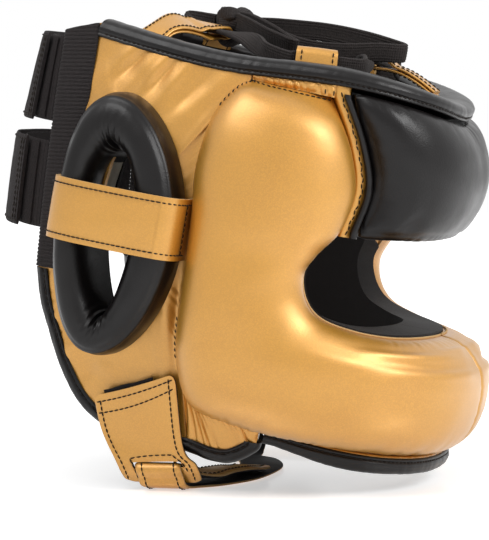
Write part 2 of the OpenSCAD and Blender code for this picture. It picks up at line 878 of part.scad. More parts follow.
// Leather tongue folded over the lace: it starts at s = 0 and reaches out by reach_l,
// rising by rise at its eye and by arch more on the way. Its root is cut at a skew.
module tongue(reach_l, rise, arch, skew) {
    flat = reach_l - EYE - 2;
    function lift(s) = let (f = max(0, min(1, s / flat))) rise * sin(90 * f) + arch * sin(180 * f);
    function part(s) = mix(gap, EYE_H, ease((s - flat + 10) / 10));
    s_list = [0, 8, 16, flat - 6, flat + 2, reach_l - 6, reach_l - 2];
    back = [for (i = [len(s_list) - 1:-1:0]) s_list[i]];
    tip = rise + tongue_t + EYE_H / 2;
    outer = concat(
        [for (s = s_list) [s, lift(s)]],
        [[reach_l + tongue_t, tip]],
        [for (s = back) [s, lift(s) + 2 * tongue_t + part(s)]]
    );
    inner = concat(
        [for (s = s_list) [s, lift(s) + tongue_t]],
        [[reach_l, tip]],
        [for (s = back) [s, lift(s) + tongue_t + part(s)]]
    );
    last = len(outer) - 1;
    slope = lift(s_list[1]) / s_list[1];
    skin([
        for (x = [-tongue_w / 2, tongue_w / 2])
            [
                for (p = concat(outer, [for (i = [last:-1:0]) inner[i]]))
                    let (shift = p[0] < 4 ? x * skew : 0)
                    [p[0] + shift, x, p[1] + shift * slope]
            ]
    ]);
}

// Middle of a tongue's eye
function eye_pt(root, turn, reach_l, rise) =
    let (s = reach_l - EYE / 2 - 1)
    root + [s * cos(turn), s * sin(turn), rise + tongue_t + EYE_H / 2];

// Clearance of a loop over the top of the crown binding
LOOP_SEAT = gap + bind_t + 0.6 + gap;
// Depth of the inner face of the crown binding
INSIDE_D = -lining_t - gap - bind_t;

// Front tongue: reach and rise
FRONT_LOOP = [50, 10];
FRONT_ROOT = shell_pt(-90, rim_front_z + LOOP_SEAT, rim_front_t / 2 - 4);

module front_crown_loop() {
    translate(FRONT_ROOT)
        rotate([0, 0, 90])
            tongue(FRONT_LOOP[0], FRONT_LOOP[1], 1, 0);
}

// Rear tongues: plan angle of the root, turn in plan, reach, rise and arch
REAR_LOOP = [35, -26, 56, 7, 6];
REAR_ROOT = shell_pt(REAR_LOOP[0], rim_z(REAR_LOOP[0]) - 3, INSIDE_D - 3 * gap);

module rear_crown_loop() {
    translate(REAR_ROOT)
        rotate([0, 0, REAR_LOOP[1]])
            tongue(REAR_LOOP[2], REAR_LOOP[3], REAR_LOOP[4], -0.34);
}

// Half of the room inside a side tab
TAB_ROOM = lace_t / 2 + 1.3;
// Depth of the middle of a side tab, whose outer wall is sewn to the binding's inner leg
SIDE_LOOP_D = INSIDE_D - gap - tongue_t - TAB_ROOM;

// Folded tab inside the rim, with the lace running through it along the rim
module side_crown_loop() {
    half = TAB_ROOM;
    out = half + tongue_t;
    skin([
        for (th = [-29:-4:-45])
            let (
                z0 = rim_z(th) - bind_leg_in,
                z1 = rim_z(th) + tab_h,
                section = [
                    [-out, z0], [-out, z1 - 3], [-out + 2, z1], [out - 2, z1], [out, z1 - 3], [out, z0],
                    [half, z0], [half, z1 - 4], [half - 1.4, z1 - tongue_t], [1.4 - half, z1 - tongue_t],
                    [-half, z1 - 4], [-half, z0]
                ]
            )
            [for (p = section) shell_pt(th, p[1], SIDE_LOOP_D + p[0])]
    ]);
}

// Lace
// Route of the crown lace as [place, direction of its width], from the knot through the
// right rear tongue, the right side tab and the front tongue, and back on the left.

// Place of the lace in a side tab
function in_tab(th) = [
    shell_pt(th, rim_z(th) + tab_h - tongue_t - 0.8 - lace_w / 2, SIDE_LOOP_D),
    [0, 0, 1]
];

// Places of the lace in the rear tongue, w along the tongue's width, and in the front one
function in_rear(w) =
    let (turn = REAR_LOOP[1])
    [
        eye_pt(REAR_ROOT, turn, REAR_LOOP[2], REAR_LOOP[3]) + w * [-sin(turn), cos(turn), 0],
        [cos(turn), sin(turn), 0]
    ];

function in_front(x) = [eye_pt(FRONT_ROOT, 90, FRONT_LOOP[0], FRONT_LOOP[1]) + [x, 0, 0], [0, 1, 0]];

LACE_RIGHT = [
    [[-3, 40.4, 126.5], [0, 0, 1]],
    [[-3.2, 47, 126.5], [0.1, 0, 1]],
    [[-5.5, 54, 126.5], [0.3, 0.1, 1]],
    [[-10.5, 56, 126.3], [0.6, 0, 0.7]],
    in_rear(11),
    in_rear(-10),
    [[-34, 12, 122], [0.7, -0.5, 0.5]],
    [[-46, 1, 119.5], [0.3, -0.3, 0.9]],
    [[-56, -8, 116.5], [0, 0, 1]],
    in_tab(-25),
    in_tab(-29),
    in_tab(-45),
    [[-46, -60, 116.5], [0, 0, 1]],
    [[-36, -60, 119], [0, 0.4, 1]],
    [[-25, -57, 120.2], [0, 0.9, 0.4]],
    in_front(-13),
    in_front(-5)
];

function flip(p) = [[-p[0][0], p[0][1], p[0][2]], [-p[1][0], p[1][1], p[1][2]]];

// Edge lines of a flat lace along a route, with count stations between route points
module lace(route, count) {
    places = along([for (p = route) p[0]], (len(route) - 1) * count);
    widths = along([for (p = route) unit(p[1])], (len(route) - 1) * count);
    ribbon(
        [for (i = [0:len(places) - 1]) places[i] + unit(widths[i]) * lace_w / 2],
        [for (i = [0:len(places) - 1]) places[i] - unit(widths[i]) * lace_w / 2],
        lace_t
    );
}

module crown_lace() {
    left = [for (i = [len(LACE_RIGHT) - 1:-1:0]) flip(LACE_RIGHT[i])];
    lace(concat(LACE_RIGHT, left), 2);
}

// Rounded lump of the tied lace
module lace_knot() {
    translate([0, 30, 128])
        skin([
            for (a = [-75:25:75])
                [
                    for (j = [0:9])
                        [8 * cos(a) * cos(36 * j), 10 * sin(a), 12 * cos(a) * sin(36 * j)]
                ]
        ]);
}

LONG_BOW = [
    [[-3, 20, 130], [0, 0, 1]],
    [[-9, 6, 130], [0, 0.1, 1]],
    [[-14, -16, 130], [0, 0.1, 1]],
    [[-17, -40, 129.5], [0, 0.1, 1]],
    [[-18, -62, 129], [0, 0, 1]],
    [[-17.5, -71, 129], [0, 0, 1]],
    [[-13.5, -75.5, 129], [0, 0, 1]],
    [[-9.8, -70, 129], [0, 0, 1]],
    [[-10.5, -50, 129], [0, 0, 1]],
    [[-9, -26, 129], [0, 0.1, 1]],
    [[-3, 0, 129], [0, 0.1, 1]],
    [[2.5, 20, 129], [0, 0, 1]]
];

module lace_bow_long() {
    lace(LONG_BOW, 2);
}

SHORT_BOW = [
    [[-8.2, 25, 131], [-0.2, 0, 1]],
    [[-15, 15, 130.5], [-0.3, 0, 1]],
    [[-22, 0, 127], [-0.4, 0, 1]],
    [[-28, -13, 122.5], [-0.4, 0, 1]],
    [[-32.5, -18.5, 121], [-0.4, 0, 1]],
    [[-35.5, -13.5, 121.5], [-0.4, 0, 1]],
    [[-30, 1, 124.5], [-0.4, 0, 1]],
    [[-21.5, 14, 128], [-0.3, 0, 1]],
    [[-13, 24.5, 130], [-0.2, 0, 1]]
];

module lace_bow_short() {
    lace(SHORT_BOW, 2);
}

// Chin closure
// These pieces are shaped in the standing frame, so that the strap lies on the floor.

module standing() {
    translate([0, stand_y, 0])
        children();
}

CHIN_TAB_LOW = chin_strap_t + 1.6;

// Inner face of the chin tab, with c across from its rear edge to its front edge and w
// down from its sewn end to its lower edge
function tab_pt(c, w) =
    let (
        tab_d = panel_t + gap,
        low_d = edge_t + bind_t + 2 * gap + 0.3,
        top = to_floor(side_pt(mix(48, 3, c), jaw_z + mix(24, 42, c), tab_d)),
        edge = to_floor(side_pt(mix(41, -6, c), jaw_z + 2, low_d)),
        mid = [mix(-84, -81, c), mix(50, 5, c), 15],
        low = [mix(-79, -73, c), mix(47, 3, c), CHIN_TAB_LOW]
    )
    spline([top, edge, mid, low], 3 * w);

// The tab's grid runs round its slot
TAB_OUTLINE = [
    [0, 0], [0.33, 0], [0.67, 0], [1, 0], [1, 0.2], [1, 0.4], [1, 0.6], [1, 0.8], [0.99, 0.95],
    [0.9, 1], [0.67, 1], [0.33, 1], [0.12, 1], [0.02, 0.95], [0, 0.8], [0, 0.6], [0, 0.4], [0, 0.2]
];
SLOT_C = [0.14, 0.86];
SLOT_W = 0.68;

function slot_outline(i) =
    let (
        half_w = slot_h / 90,
        p = TAB_OUTLINE[i] - [0.5, SLOT_W],
        c = max(SLOT_C[0], min(SLOT_C[1], TAB_OUTLINE[i][0])),
        side = abs(p[0]) > 0.45 ? max(-0.6, min(0.6, p[1] * 2)) : sign(p[1])
    )
    [c, SLOT_W + half_w * side];

module chin_tab() {
    t = [-chin_tab_t, 0, 0];
    skin([
        for (i = [0:len(TAB_OUTLINE) - 1])
            let (
                a = slot_outline(i),
                b = TAB_OUTLINE[i],
                at = [for (f = [0, 0.12, 0.4, 0.7, 1]) mix(a, b, f)]
            )
            concat(
                [for (p = at) tab_pt(p[0], p[1]) + t],
                [for (k = [4:-1:0]) tab_pt(at[k][0], at[k][1])]
            )
    ], true);
}

STRAP_C = [0.22, 0.8];

// Route of one edge of the chin strap, from its sewn end on the left panel along the floor
// and up outside the lower bar of the tab into the slot
function strap_edge(c, y_end, y_mid) =
    let (
        half = chin_strap_t / 2,
        out = chin_tab_t + gap + half,
        root = side_pt(mix(34, 6, c), jaw_z + 22, panel_t + gap + half),
        edge = side_pt(mix(30, 0, c), jaw_z + 2, edge_t + bind_t + 3 * gap + half),
        far = [-1, 1, 1],
        bar = tab_pt(c, 0.88),
        turn = tab_pt(c, 0.76),
        slot = tab_pt(c, SLOT_W)
    )
    [
        [-root[0], to_floor(root)[1], to_floor(root)[2]],
        [-edge[0], to_floor(edge)[1], to_floor(edge)[2]],
        [80, y_end + 2, 12],
        [74, y_end + 1, 3.6],
        [67, y_end, half + 0.3],
        [56, mix(y_end, y_mid, 0.5), half],
        [30, mix(y_end, y_mid, 0.9), half],
        [0, y_mid, half],
        [-30, mix(y_end, y_mid, 0.9), half],
        [-56, mix(y_end, y_mid, 0.5), half],
        [-70, y_end - 1, half],
        [bar[0] - 2.5, mix(y_end, bar[1], 0.6), half + 1.6],
        [bar[0] - out - 0.6, bar[1], bar[2]],
        [turn[0] - out - 0.2, turn[1], turn[2]],
        [slot[0] - chin_tab_t / 2, slot[1], slot[2]],
        [slot[0] + 3.5, slot[1], slot[2] - 0.6]
    ];

// The curve through p, kept up on the floor
function on_floor(p, count) =
    [for (q = along(p, count)) [q[0], q[1], max(q[2], chin_strap_t / 2)]];

module chin_strap() {
    front = strap_edge(STRAP_C[1], 9, -17);
    back = strap_edge(STRAP_C[0], 36, 10);
    ribbon(on_floor(front, 38), on_floor(back, 38), chin_strap_t);
}

module chin_strap_tail() {
    lie = 1.5 * chin_strap_t + 0.8;
    function tail_edge(c, y_end, y_mid) =
        let (slot = tab_pt(c, SLOT_W))
        [
            [slot[0] + 5.5, slot[1], slot[2] - 1.4],
            [slot[0] + 10, slot[1] - 1, slot[2] - 5],
            [-60, mix(y_end, y_mid, 0.4), lie + 1.5],
            [-46, mix(y_end, y_mid, 0.68), lie + 2.6],
            [-30, mix(y_end, y_mid, 0.9), lie + 2.2],
            [-14, mix(y_end, y_mid, 1), lie + 0.4],
            [-4, y_mid, lie]
        ];
    front = tail_edge(STRAP_C[1], 9, -16);
    back = tail_edge(STRAP_C[0], 36, 9);
    ribbon(along(front, 14), along(back, 14), chin_strap_t);
}

color(GOLD) posed() side_panel();  // side_panel_right
color(GOLD) posed() mirrored() side_panel();  // side_panel_left
color(FOAM) posed() side_foam();  // side_foam_right
color(FOAM) posed() mirrored() side_foam();  // side_foam_left
color(BLACK) posed() side_lining();  // side_lining_right
color(BLACK) posed() mirrored() side_lining();  // side_lining_left
color(GOLD) posed() cheek_bumper();  // cheek_bumper_right
color(GOLD) posed() mirrored() cheek_bumper();  // cheek_bumper_left
color(FOAM) posed() bumper_foam();  // bumper_foam_right
color(FOAM) posed() mirrored() bumper_foam();  // bumper_foam_left
color(BLACK) posed() cheek_lining();  // cheek_lining_right
color(BLACK) posed() mirrored() cheek_lining();  // cheek_lining_left
color(BLACK) posed() forehead_pad();
color(FOAM) posed() forehead_foam();
color(BLACK) posed() forehead_base();
color(BLACK) posed() forehead_lining();
color(GOLD) posed() temple_facing();  // temple_facing_right
color(GOLD) posed() mirrored() temple_facing();  // temple_facing_left
color(BLACK) posed() temple_piping();  // temple_piping_right
color(BLACK) posed() mirrored() temple_piping();  // temple_piping_left
color(GOLD) posed() temple_gather();  // temple_gather_right
color(GOLD) posed() mirrored() temple_gather();  // temple_gather_left
color(GOLD) posed() jaw_gusset();  // jaw_gusset_right
color(GOLD) posed() mirrored() jaw_gusset();  // jaw_gusset_left
color(GOLD) posed() chin_flange();
color(BLACK) posed() crown_binding();
color(BLACK) posed() jaw_binding();  // jaw_binding_right
color(BLACK) posed() mirrored() jaw_binding();  // jaw_binding_left
color(BLACK) posed() chin_binding();
color(BLACK) posed() rear_tape();  // rear_tape_right
color(BLACK) posed() mirrored() rear_tape();  // rear_tape_left
color(BLACK) posed() ear_ring();  // ear_ring_right
color(BLACK) posed() mirrored() ear_ring();  // ear_ring_left
color(GOLD) posed() ear_band();  // ear_band_right
color(GOLD) posed() mirrored() ear_band();  // ear_band_left
color(BLACK) posed() base_strap(UPPER);  // upper_base_strap
color(BLACK) posed() loop_face(UPPER);  // upper_loop_face
color(BLACK) posed() flap_strap(UPPER);  // upper_flap_strap
color(BLACK) posed() hook_face(UPPER);  // upper_hook_face
color(BLACK) posed() base_strap(LOWER);  // lower_base_strap
color(BLACK) posed() loop_face(LOWER);  // lower_loop_face
color(BLACK) posed() flap_strap(LOWER);  // lower_flap_strap
color(BLACK) posed() hook_face(LOWER);  // lower_hook_face
color(GOLD) posed() front_crown_loop();
color(GOLD) posed() rear_crown_loop();  // rear_crown_loop_right
color(GOLD) posed() mirrored() rear_crown_loop();  // rear_crown_loop_left
color(GOLD) posed() side_crown_loop();  // side_crown_loop_right
color(GOLD) posed() mirrored() side_crown_loop();  // side_crown_loop_left
color(BLACK) posed() crown_lace();
color(BLACK) posed() lace_knot();
color(BLACK) posed() lace_bow_long();
color(BLACK) posed() lace_bow_short();
color(GOLD) standing() chin_tab();
color(GOLD) standing() chin_strap();
color(GOLD) standing() chin_strap_tail();
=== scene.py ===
"""Looks of a full face boxing headguard: leather covers, bindings, stitching, laces and straps.

Shapes are worked out in millimetres in the frame of the head, with the face along -Y and the
wearer's right side at -X, and stand() brings them into the frame of the standing guard.
"""

import bpy
import numpy as np
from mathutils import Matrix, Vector


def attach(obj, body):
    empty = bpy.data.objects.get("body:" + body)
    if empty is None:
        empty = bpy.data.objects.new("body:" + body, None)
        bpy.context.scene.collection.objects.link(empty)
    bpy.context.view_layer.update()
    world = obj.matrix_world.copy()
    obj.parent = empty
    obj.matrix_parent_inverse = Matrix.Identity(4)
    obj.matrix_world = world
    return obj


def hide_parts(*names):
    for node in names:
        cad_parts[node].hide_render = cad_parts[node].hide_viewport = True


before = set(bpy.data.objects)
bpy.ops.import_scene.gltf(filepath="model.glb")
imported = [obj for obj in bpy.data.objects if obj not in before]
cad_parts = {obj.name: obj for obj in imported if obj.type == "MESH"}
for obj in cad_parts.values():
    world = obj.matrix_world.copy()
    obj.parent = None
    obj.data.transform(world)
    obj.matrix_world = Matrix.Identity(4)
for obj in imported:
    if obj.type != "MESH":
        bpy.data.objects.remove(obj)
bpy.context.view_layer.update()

bl_info = {
    "name": "Boxing Headguard Looks",
    "version": (1, 0, 0),
    "blender": (4, 5, 0),
    "location": "3D View > Sidebar > Headguard",
    "description": "Builds the leather, stitching, lace and studio of a full face boxing headguard",
    "category": "Object",
}

MM = 0.001

# Head cavity
HEAD_HALF_W = 79
HEAD_FRONT = 95
HEAD_REAR = 125
BAR_REACH = 19
DRAW_IN = 9
MID_Z = 10
EAR_LINE_Y = 10
PLAN_N = 2.6

# Stance
NOD = 10
EYE_H = 130
STAND_Y = 2.3

# Heights from the eye line
RIM_FRONT_Z = 104
RIM_TEMPLE_Z = 113.5
RIM_SIDE_Z = 111
RIM_REAR_Z = 117.5
CORNER_Z = 110
BROW_Z = 28
BUMPER_TOP_Z = 100.5
BAR_TOP_Z = -26
BAR_LOW_Z = -90
JAW_Z = -107
CHIN_Z = -99
TAPE_LOW_Z = -23
REAR_Y = 92
REAR_RAKE = 8
SEAM = [-48.5, -51, -48.2, -43]
SEAM_STEP = 24

# Thicknesses
GAP = 0.3
COVER_T = 3
LINING_T = 2.2
EDGE_T = 12.5
PANEL_T = 16
CHEEK_T = 38
BAR_T = 48
PAD_T = 33
RIM_FRONT_T = 28
BIND_T = 1.4
BASE_T = 12
FACING_D = 19
FACING_W = 8
PIPING_D = 3.6
STRAP_T = 1.8
LOOP_T = 1.2
TONGUE_T = 1.8
TONGUE_W = 18
LACE_W = 12
LACE_T = 2.6
CHIN_TAB_T = 3
CHIN_STRAP_T = 2.6
FLANGE_T = 8
CORE_GAP = 0.6

# Ear rings and bindings
EAR_Y = 42.5
EAR_Z = 10
OPEN_Y = EAR_Y + 5.5
EAR_HALF_W = 32.5
EAR_HALF_H = 73
EAR_BOW = 8
EAR_OPEN_W = 12
EAR_OPEN_H = 50
EAR_RING_H = 22
EAR_LEAN = 3.5
BAND_Z = -2.5
BAND_H = 34
BAND_T = 1.8
BIND_LEG = 9.5
BIND_LEG_IN = 6
TAPE_W = 20
# Pitch of the ribs across the elastic tape
RIB = 2.2


# Blends, curves and waves

def mix(a, b, t):
    return a + (b - a) * t


def ease(t):
    c = np.clip(t, 0, 1)
    return c * c * (3 - 2 * c)


def pw(x, e):
    """Signed power, for superellipses."""
    return np.sign(x) * np.abs(x) ** e


def cos_sin(degrees):
    return np.cos(np.radians(degrees)), np.sin(np.radians(degrees))


def bell(x, width):
    """Smooth bump of height 1 at x = 0: e^(-(x / width)^2)."""
    return np.exp(-(x / width) ** 2)


def unit(v):
    return v / np.maximum(np.linalg.norm(v, axis=-1, keepdims=True), 1e-9)


def turns(count):
    """Angles evenly round a circle, as one row."""
    return np.linspace(0, 2 * np.pi, count, endpoint=False)[None]


def stations(start, stop, count):
    """Even stations along a piece, as one column."""
    return np.linspace(start, stop, count)[:, None]


def across(count):
    """Even shares from 0 to 1 across a piece, as one row."""
    return np.linspace(0, 1, count)[None]


def four_point(a, b, c, d, f):
    """Catmull-Rom blend at the share f of the way from b to c, with a before and d after them."""
    square, cube = 2 * a - 5 * b + 4 * c - d, 3 * b - a - 3 * c + d
    return 0.5 * (2 * b + (c - a) * f + square * f ** 2 + cube * f ** 3)


def spline(rows, t):
    """Catmull-Rom curve through the rows, with t counted in rows."""
    p = np.asarray(rows, float)
    flat = p.ndim == 1
    p = p[:, None] if flat else p
    ends = np.concatenate([[2 * p[0] - p[1]], p, [2 * p[-1] - p[-2]]])
    t = np.asarray(t, float)
    i = np.clip(np.floor(t).astype(int), 0, len(p) - 2)
    f = (t - i)[(...,) + (None,) * (p.ndim - 1)]
    q = four_point(ends[i], ends[i + 1], ends[i + 2], ends[i + 3], f)
    return q[..., 0] if flat else q


def along(rows, count):
    """The curve through the rows cut into count pieces."""
    return spline(rows, np.linspace(0, len(rows) - 1, count + 1))


def run_length(points):
    """Length along the first axis of a polyline or grid, starting at 0."""
    step = np.linalg.norm(np.diff(points, axis=0), axis=-1)
    return np.concatenate([np.zeros((1,) + step.shape[1:]), np.cumsum(step, axis=0)])


def ripple(x, y, wave, seed, terms=7):
    """Smooth uneven surface from -1 to 1: sines of random headings round one wavelength."""
    rng = np.random.RandomState(seed)
    total = 0
    for _ in range(terms):
        heading = rng.uniform(0, np.pi)
        k = 2 * np.pi / (wave * rng.uniform(0.7, 1.5))
        total = total + np.sin(k * (x * np.cos(heading) + y * np.sin(heading)) + rng.uniform(0, 6.28))
    return total / terms


def gathers(s, pitch, seed):
    """Uneven puckers along the length s: rounded ridges whose pitch and height wander."""
    rng = np.random.RandomState(seed)
    a, b, c, d = rng.uniform(0, 6.28, 4)
    wander = 0.9 * np.sin(s / pitch * 0.83 + a) + 0.6 * np.sin(s / pitch * 2.1 + b)
    height = 0.65 + 0.35 * np.sin(s / pitch * 1.37 + c) * np.sin(s / pitch * 0.61 + d)
    return height * (np.abs(np.sin(np.pi * s / pitch + wander)) ** 0.8 - 0.5)


def folds(y, z, rows):
    """Sum of soft ridges. Each row is [y, z, angle, half length, half width, height]."""
    total = 0
    for y0, z0, angle, length, width, height in rows:
        c, s = cos_sin(angle)
        a = (y - y0) * c + (z - z0) * s
        b = (z - z0) * c - (y - y0) * s
        total = total + height * np.exp(-(a / length) ** 2 - (b / width) ** 2)
    return total


# The inner surface of the guard

def half_w(z):
    """Half width of the inside: it draws in with the square of the height from its widest line."""
    return HEAD_HALF_W - DRAW_IN * ((z - MID_Z) / 108) ** 2


def reach(front, z):
    """Depth of the inside before and behind the ears. Below the eyes it eases out to the bar."""
    return np.where(front, HEAD_FRONT + BAR_REACH * ease((20 - z) / 70), HEAD_REAR)


def shell(th, z, d):
    """Point at plan angle th and height z. The level section is the half superellipse
    |x/a|^n + |y/b|^n = 1, and the point lies d outside it, square to it in plan."""
    th, z, d = np.broadcast_arrays(*(np.asarray(v, float) for v in (th, z, d)))
    c, s = cos_sin(th)
    a = half_w(z)
    b = reach(s < 0, z)
    r = ((np.abs(c) / a) ** PLAN_N + (np.abs(s) / b) ** PLAN_N) ** (-1 / PLAN_N)
    x, y = -r * c, r * s
    nx, ny = pw(x / a, PLAN_N - 1) / a, pw(y / b, PLAN_N - 1) / b
    m = np.hypot(nx, ny)
    return np.stack([x + d * nx / m, EAR_LINE_Y + y + d * ny / m, z], -1)


def th_of(y, z):
    """Plan angle of the inner surface at depth y on the right side."""
    dy = np.asarray(y, float) - EAR_LINE_Y
    b = reach(dy < 0, z)
    x = half_w(z) * np.maximum(0, 1 - (np.abs(dy) / b) ** PLAN_N) ** (1 / PLAN_N)
    return np.degrees(np.arctan2(dy, x))


def side(y, z, d):
    """Point of the right side at depth y and height z, d outside the inner surface."""
    y, z, d = np.broadcast_arrays(*(np.asarray(v, float) for v in (y, z, d)))
    return shell(th_of(y, z), z, d)


def depth_y(th, z):
    """Depth along Y of the inner surface at plan angle th."""
    return shell(th, z, 0)[..., 1]


def near_side(th):
    """The same plan angle on the right side, for one that has passed the middle of the front."""
    return np.where(th < -90, -180 - th, th)


def rim_z(th):
    """Height of the rim edge at plan angle th, the same on both sides."""
    f = near_side(np.asarray(th, float))
    front = mix(RIM_FRONT_Z, RIM_TEMPLE_Z, ease((f + 90) / 45))
    middle = mix(RIM_TEMPLE_Z, RIM_SIDE_Z, ease((f + 45) / 37))
    rear = mix(RIM_SIDE_Z, RIM_REAR_Z, (np.maximum(f + 8, 0) / 55) ** 2)
    return np.where(f < -45, front, np.where(f < -8, middle, rear))


def rim_t(th):
    """Thickness at the rim, which eases from the side panels to the thicker front."""
    return EDGE_T + (RIM_FRONT_T - EDGE_T) * ease((-25 - near_side(np.asarray(th, float))) / 45)


def back_y(z):
    """Depth of the raked rear edge at height z."""
    return REAR_Y + REAR_RAKE * (z - TAPE_LOW_Z) / (CORNER_Z - TAPE_LOW_Z)


def bind_low(th):
    """Height of the lower end of the crown binding."""
    return rim_z(th) - BIND_LEG - GAP


def seam_th(z):
    """Plan angle of the temple seam at height z."""
    return spline(SEAM, np.clip((np.asarray(z, float) - BROW_Z) / SEAM_STEP, 0, 3))


def temple_step(w):
    """Degrees of plan angle that a width w takes up on the facing."""
    height, depth, degrees = 60, 34, 57.3
    return w / (half_w(height) + depth) * degrees


def stand(p):
    """Nods points of the head frame forward and lifts them to the standing frame."""
    c, s = cos_sin(NOD)
    x, y, z = p[..., 0], p[..., 1], p[..., 2]
    return np.stack([x, STAND_Y + y * c - z * s, EYE_H + y * s + z * c], -1)


def placed(points, posed):
    """Points in the standing frame. Those that are not posed only shift along Y."""
    return stand(points) if posed else points + np.array([0, STAND_Y, 0])


# Meshes

def link(name, verts, faces, uv=None, shade=None, index=None, materials=(), sharp=60):
    """Makes a mesh object from points in millimetres and lists of faces. What would reach below
    the surface that the guard stands on is pressed flat on it."""
    verts = np.maximum(verts, [-np.inf, -np.inf, 0])
    mesh = bpy.data.meshes.new(name)
    mesh.from_pydata((verts * MM).tolist(), [], faces)
    if index is not None:
        mesh.polygons.foreach_set("material_index", index)
    mesh.polygons.foreach_set("use_smooth", [True] * len(mesh.polygons))
    if uv is not None:
        layer = mesh.uv_layers.new(name="UVMap")
        layer.data.foreach_set("uv", (uv * MM).ravel())
    # Painted shade along sewn seams goes on as a point attribute.
    if shade is not None:
        mesh.attributes.new("seam", "FLOAT", "POINT").data.foreach_set("value", shade)
    for material in materials:
        mesh.materials.append(material)
    mesh.update()
    mesh.set_sharp_from_angle(angle=np.radians(sharp))
    obj = bpy.data.objects.new(name, mesh)
    bpy.context.scene.collection.objects.link(obj)
    return obj


def volume(verts, faces):
    """Six times the volume inside faces of three or four corners each."""
    v = verts - verts.mean(0)
    a, b, c = (v[faces[:, k]] for k in range(3))
    total = np.einsum("ij,ij->", a, np.cross(b, c))
    if faces.shape[1] == 4:
        total += np.einsum("ij,ij->", a, np.cross(c, v[faces[:, 3]]))
    return total


def end_caps(n, bases, fan, first_tip):
    """Faces that close the rings that start at bases: a fan round a middle point, or strips
    between the ring's two halves."""
    caps = []
    for k, base in enumerate(bases):
        j = np.arange(n if fan else n // 2 - 1)
        if fan:
            face = np.stack([base + j, base + (j + 1) % n, np.full(n, first_tip + k)], -1)
        else:
            face = base + np.stack([j, j + 1, n - 2 - j, n - 1 - j], -1)
        caps.append(face[:, ::-1] if k == 0 else face)
    return np.concatenate(caps)


def solid(name, rings, materials, loop=False, seam=None, pick=None, cap=0, fan=False, sharp=60, posed=True):
    """Closed solid through an (m, n, 3) grid of rings, with its faces turned outwards. Its ends
    are closed by fans or strips, of material cap, unless the rings run in a loop. UV is the
    length along and around in millimetres. The painted shade along seams is a value from 0 to 1
    a point, and pick the material of each column."""
    m, n = rings.shape[:2]
    i = np.arange(m if loop else m - 1)[:, None]
    j = np.arange(n)[None, :]
    i2, j2 = (i + 1) % m, (j + 1) % n
    faces = np.stack(np.broadcast_arrays(i * n + j, i * n + j2, i2 * n + j2, i2 * n + j), -1).reshape(-1, 4)
    closed = np.concatenate([rings, rings[:, :1]], 1)
    v = run_length(np.swapaxes(closed, 0, 1)).T
    u = run_length(np.concatenate([rings, rings[:1]], 0) if loop else rings).mean(1)
    corner = [(u[i], v[i, j]), (u[i], v[i, j + 1]), (u[i + 1], v[i2, j + 1]), (u[i + 1], v[i2, j])]
    uv = np.stack([np.stack(np.broadcast_arrays(*c), -1) for c in corner], 2).reshape(-1, 4, 2)
    verts = rings.reshape(-1, 3)
    shade = np.zeros(m * n) if seam is None else np.broadcast_to(seam, (m, n)).reshape(-1)
    index = np.zeros(len(faces), int) if pick is None else np.broadcast_to(pick, (len(i), n)).reshape(-1)
    size = volume(verts, faces)
    blocks, maps = [faces], [uv]
    if not loop:
        caps = end_caps(n, (0, (m - 1) * n), fan, m * n)
        if fan:
            verts = np.vstack([verts, verts[:n].mean(0), verts[-n:].mean(0)])
            shade = np.concatenate([shade, [shade[:n].mean(), shade[-n:].mean()]])
        blocks.append(caps)
        maps.append(np.zeros(caps.shape + (2,)) + [u[0], 0])
        index = np.concatenate([index, np.full(len(caps), cap)])
        size = sum(volume(verts, block) for block in blocks)
    step = -1 if size < 0 else 1
    uv = np.concatenate([uv[:, ::step].reshape(-1, 2) for uv in maps])
    faces = [face for block in blocks for face in block[:, ::step].tolist()]
    return link(name, placed(verts, posed), faces, uv, shade, index, materials, sharp)


def same(p):
    return p


def flip(p):
    return p * np.array([-1, 1, 1])


SIDES = (("right", same), ("left", flip))


def lay(obj, body, slot, *nodes):
    """Rides the piece on its body and lets it stand for the CAD nodes. Its slot is not used."""
    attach(obj, body)
    if nodes:
        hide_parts(*nodes)
        obj.name = f"{nodes[0]}_finished"
    return obj


def piece(name, grid, material, slot, body="root", fill=None, extra=False, **form):
    """Solid that stands for the CAD node of its name, unless it is an extra. Its fill is not used."""
    materials = material if isinstance(material, tuple) else (material,)
    obj = lay(solid(name, grid, materials, **form), body, slot, *(() if extra else (name,)))


def pair(name, grid, material, slot, **form):
    """A piece on the right side and its mirrored twin on the left."""
    for side_name, turn in SIDES:
        piece(f"{name}_{side_name}", turn(grid), material, slot, **form)


def there_and_back(outer, inner):
    """Closed section from an outer line and the inner line that lies under it."""
    return np.concatenate([outer, inner[:, ::-1]], 1)


def strap_shares(count):
    """Shares of the half width across a strap from -1 to 1, closer together at its edges."""
    return pw(-np.cos(np.pi * (np.arange(count) + 0.5) / count), 0.8)


def strap_half(a, thick):
    """Half thickness of a strap with rounded edges: thick / 2 (1 - |a|^10)^(1/2)."""
    return thick / 2 * np.sqrt(1 - np.abs(a) ** 10)


def strap(front, back, thick, count=14, relief=None, lift=None):
    """Rings of a flat strap between two edge lines. relief adds to both faces as a function of
    the share a of the half width and the length along, and lift moves the whole section."""
    mid = (front + back) / 2
    wide = front - back
    normal = unit(np.cross(unit(np.gradient(mid, axis=0)), wide))[:, None, :]
    a = strap_shares(count)
    s = run_length(mid)[:, None]
    extra = 0 if relief is None else relief(a[None, :], s)
    up = (strap_half(a, thick)[None, :] + extra)[..., None] * normal
    base = mid[:, None, :] + a[None, :, None] / 2 * wide[:, None, :]
    if lift is not None:
        base = base + lift(a[None, :], s)[..., None] * normal
    return there_and_back(base + up, base - up)


def sewn(surface, depth, proud=0.0, both=False):
    """Row of stitches on a surface, given as a function of its depth: the points, which lie
    proud of that depth, the normals and whether the mirrored side is sewn too."""
    return surface(depth + proud), surface(depth + 1) - surface(depth), both


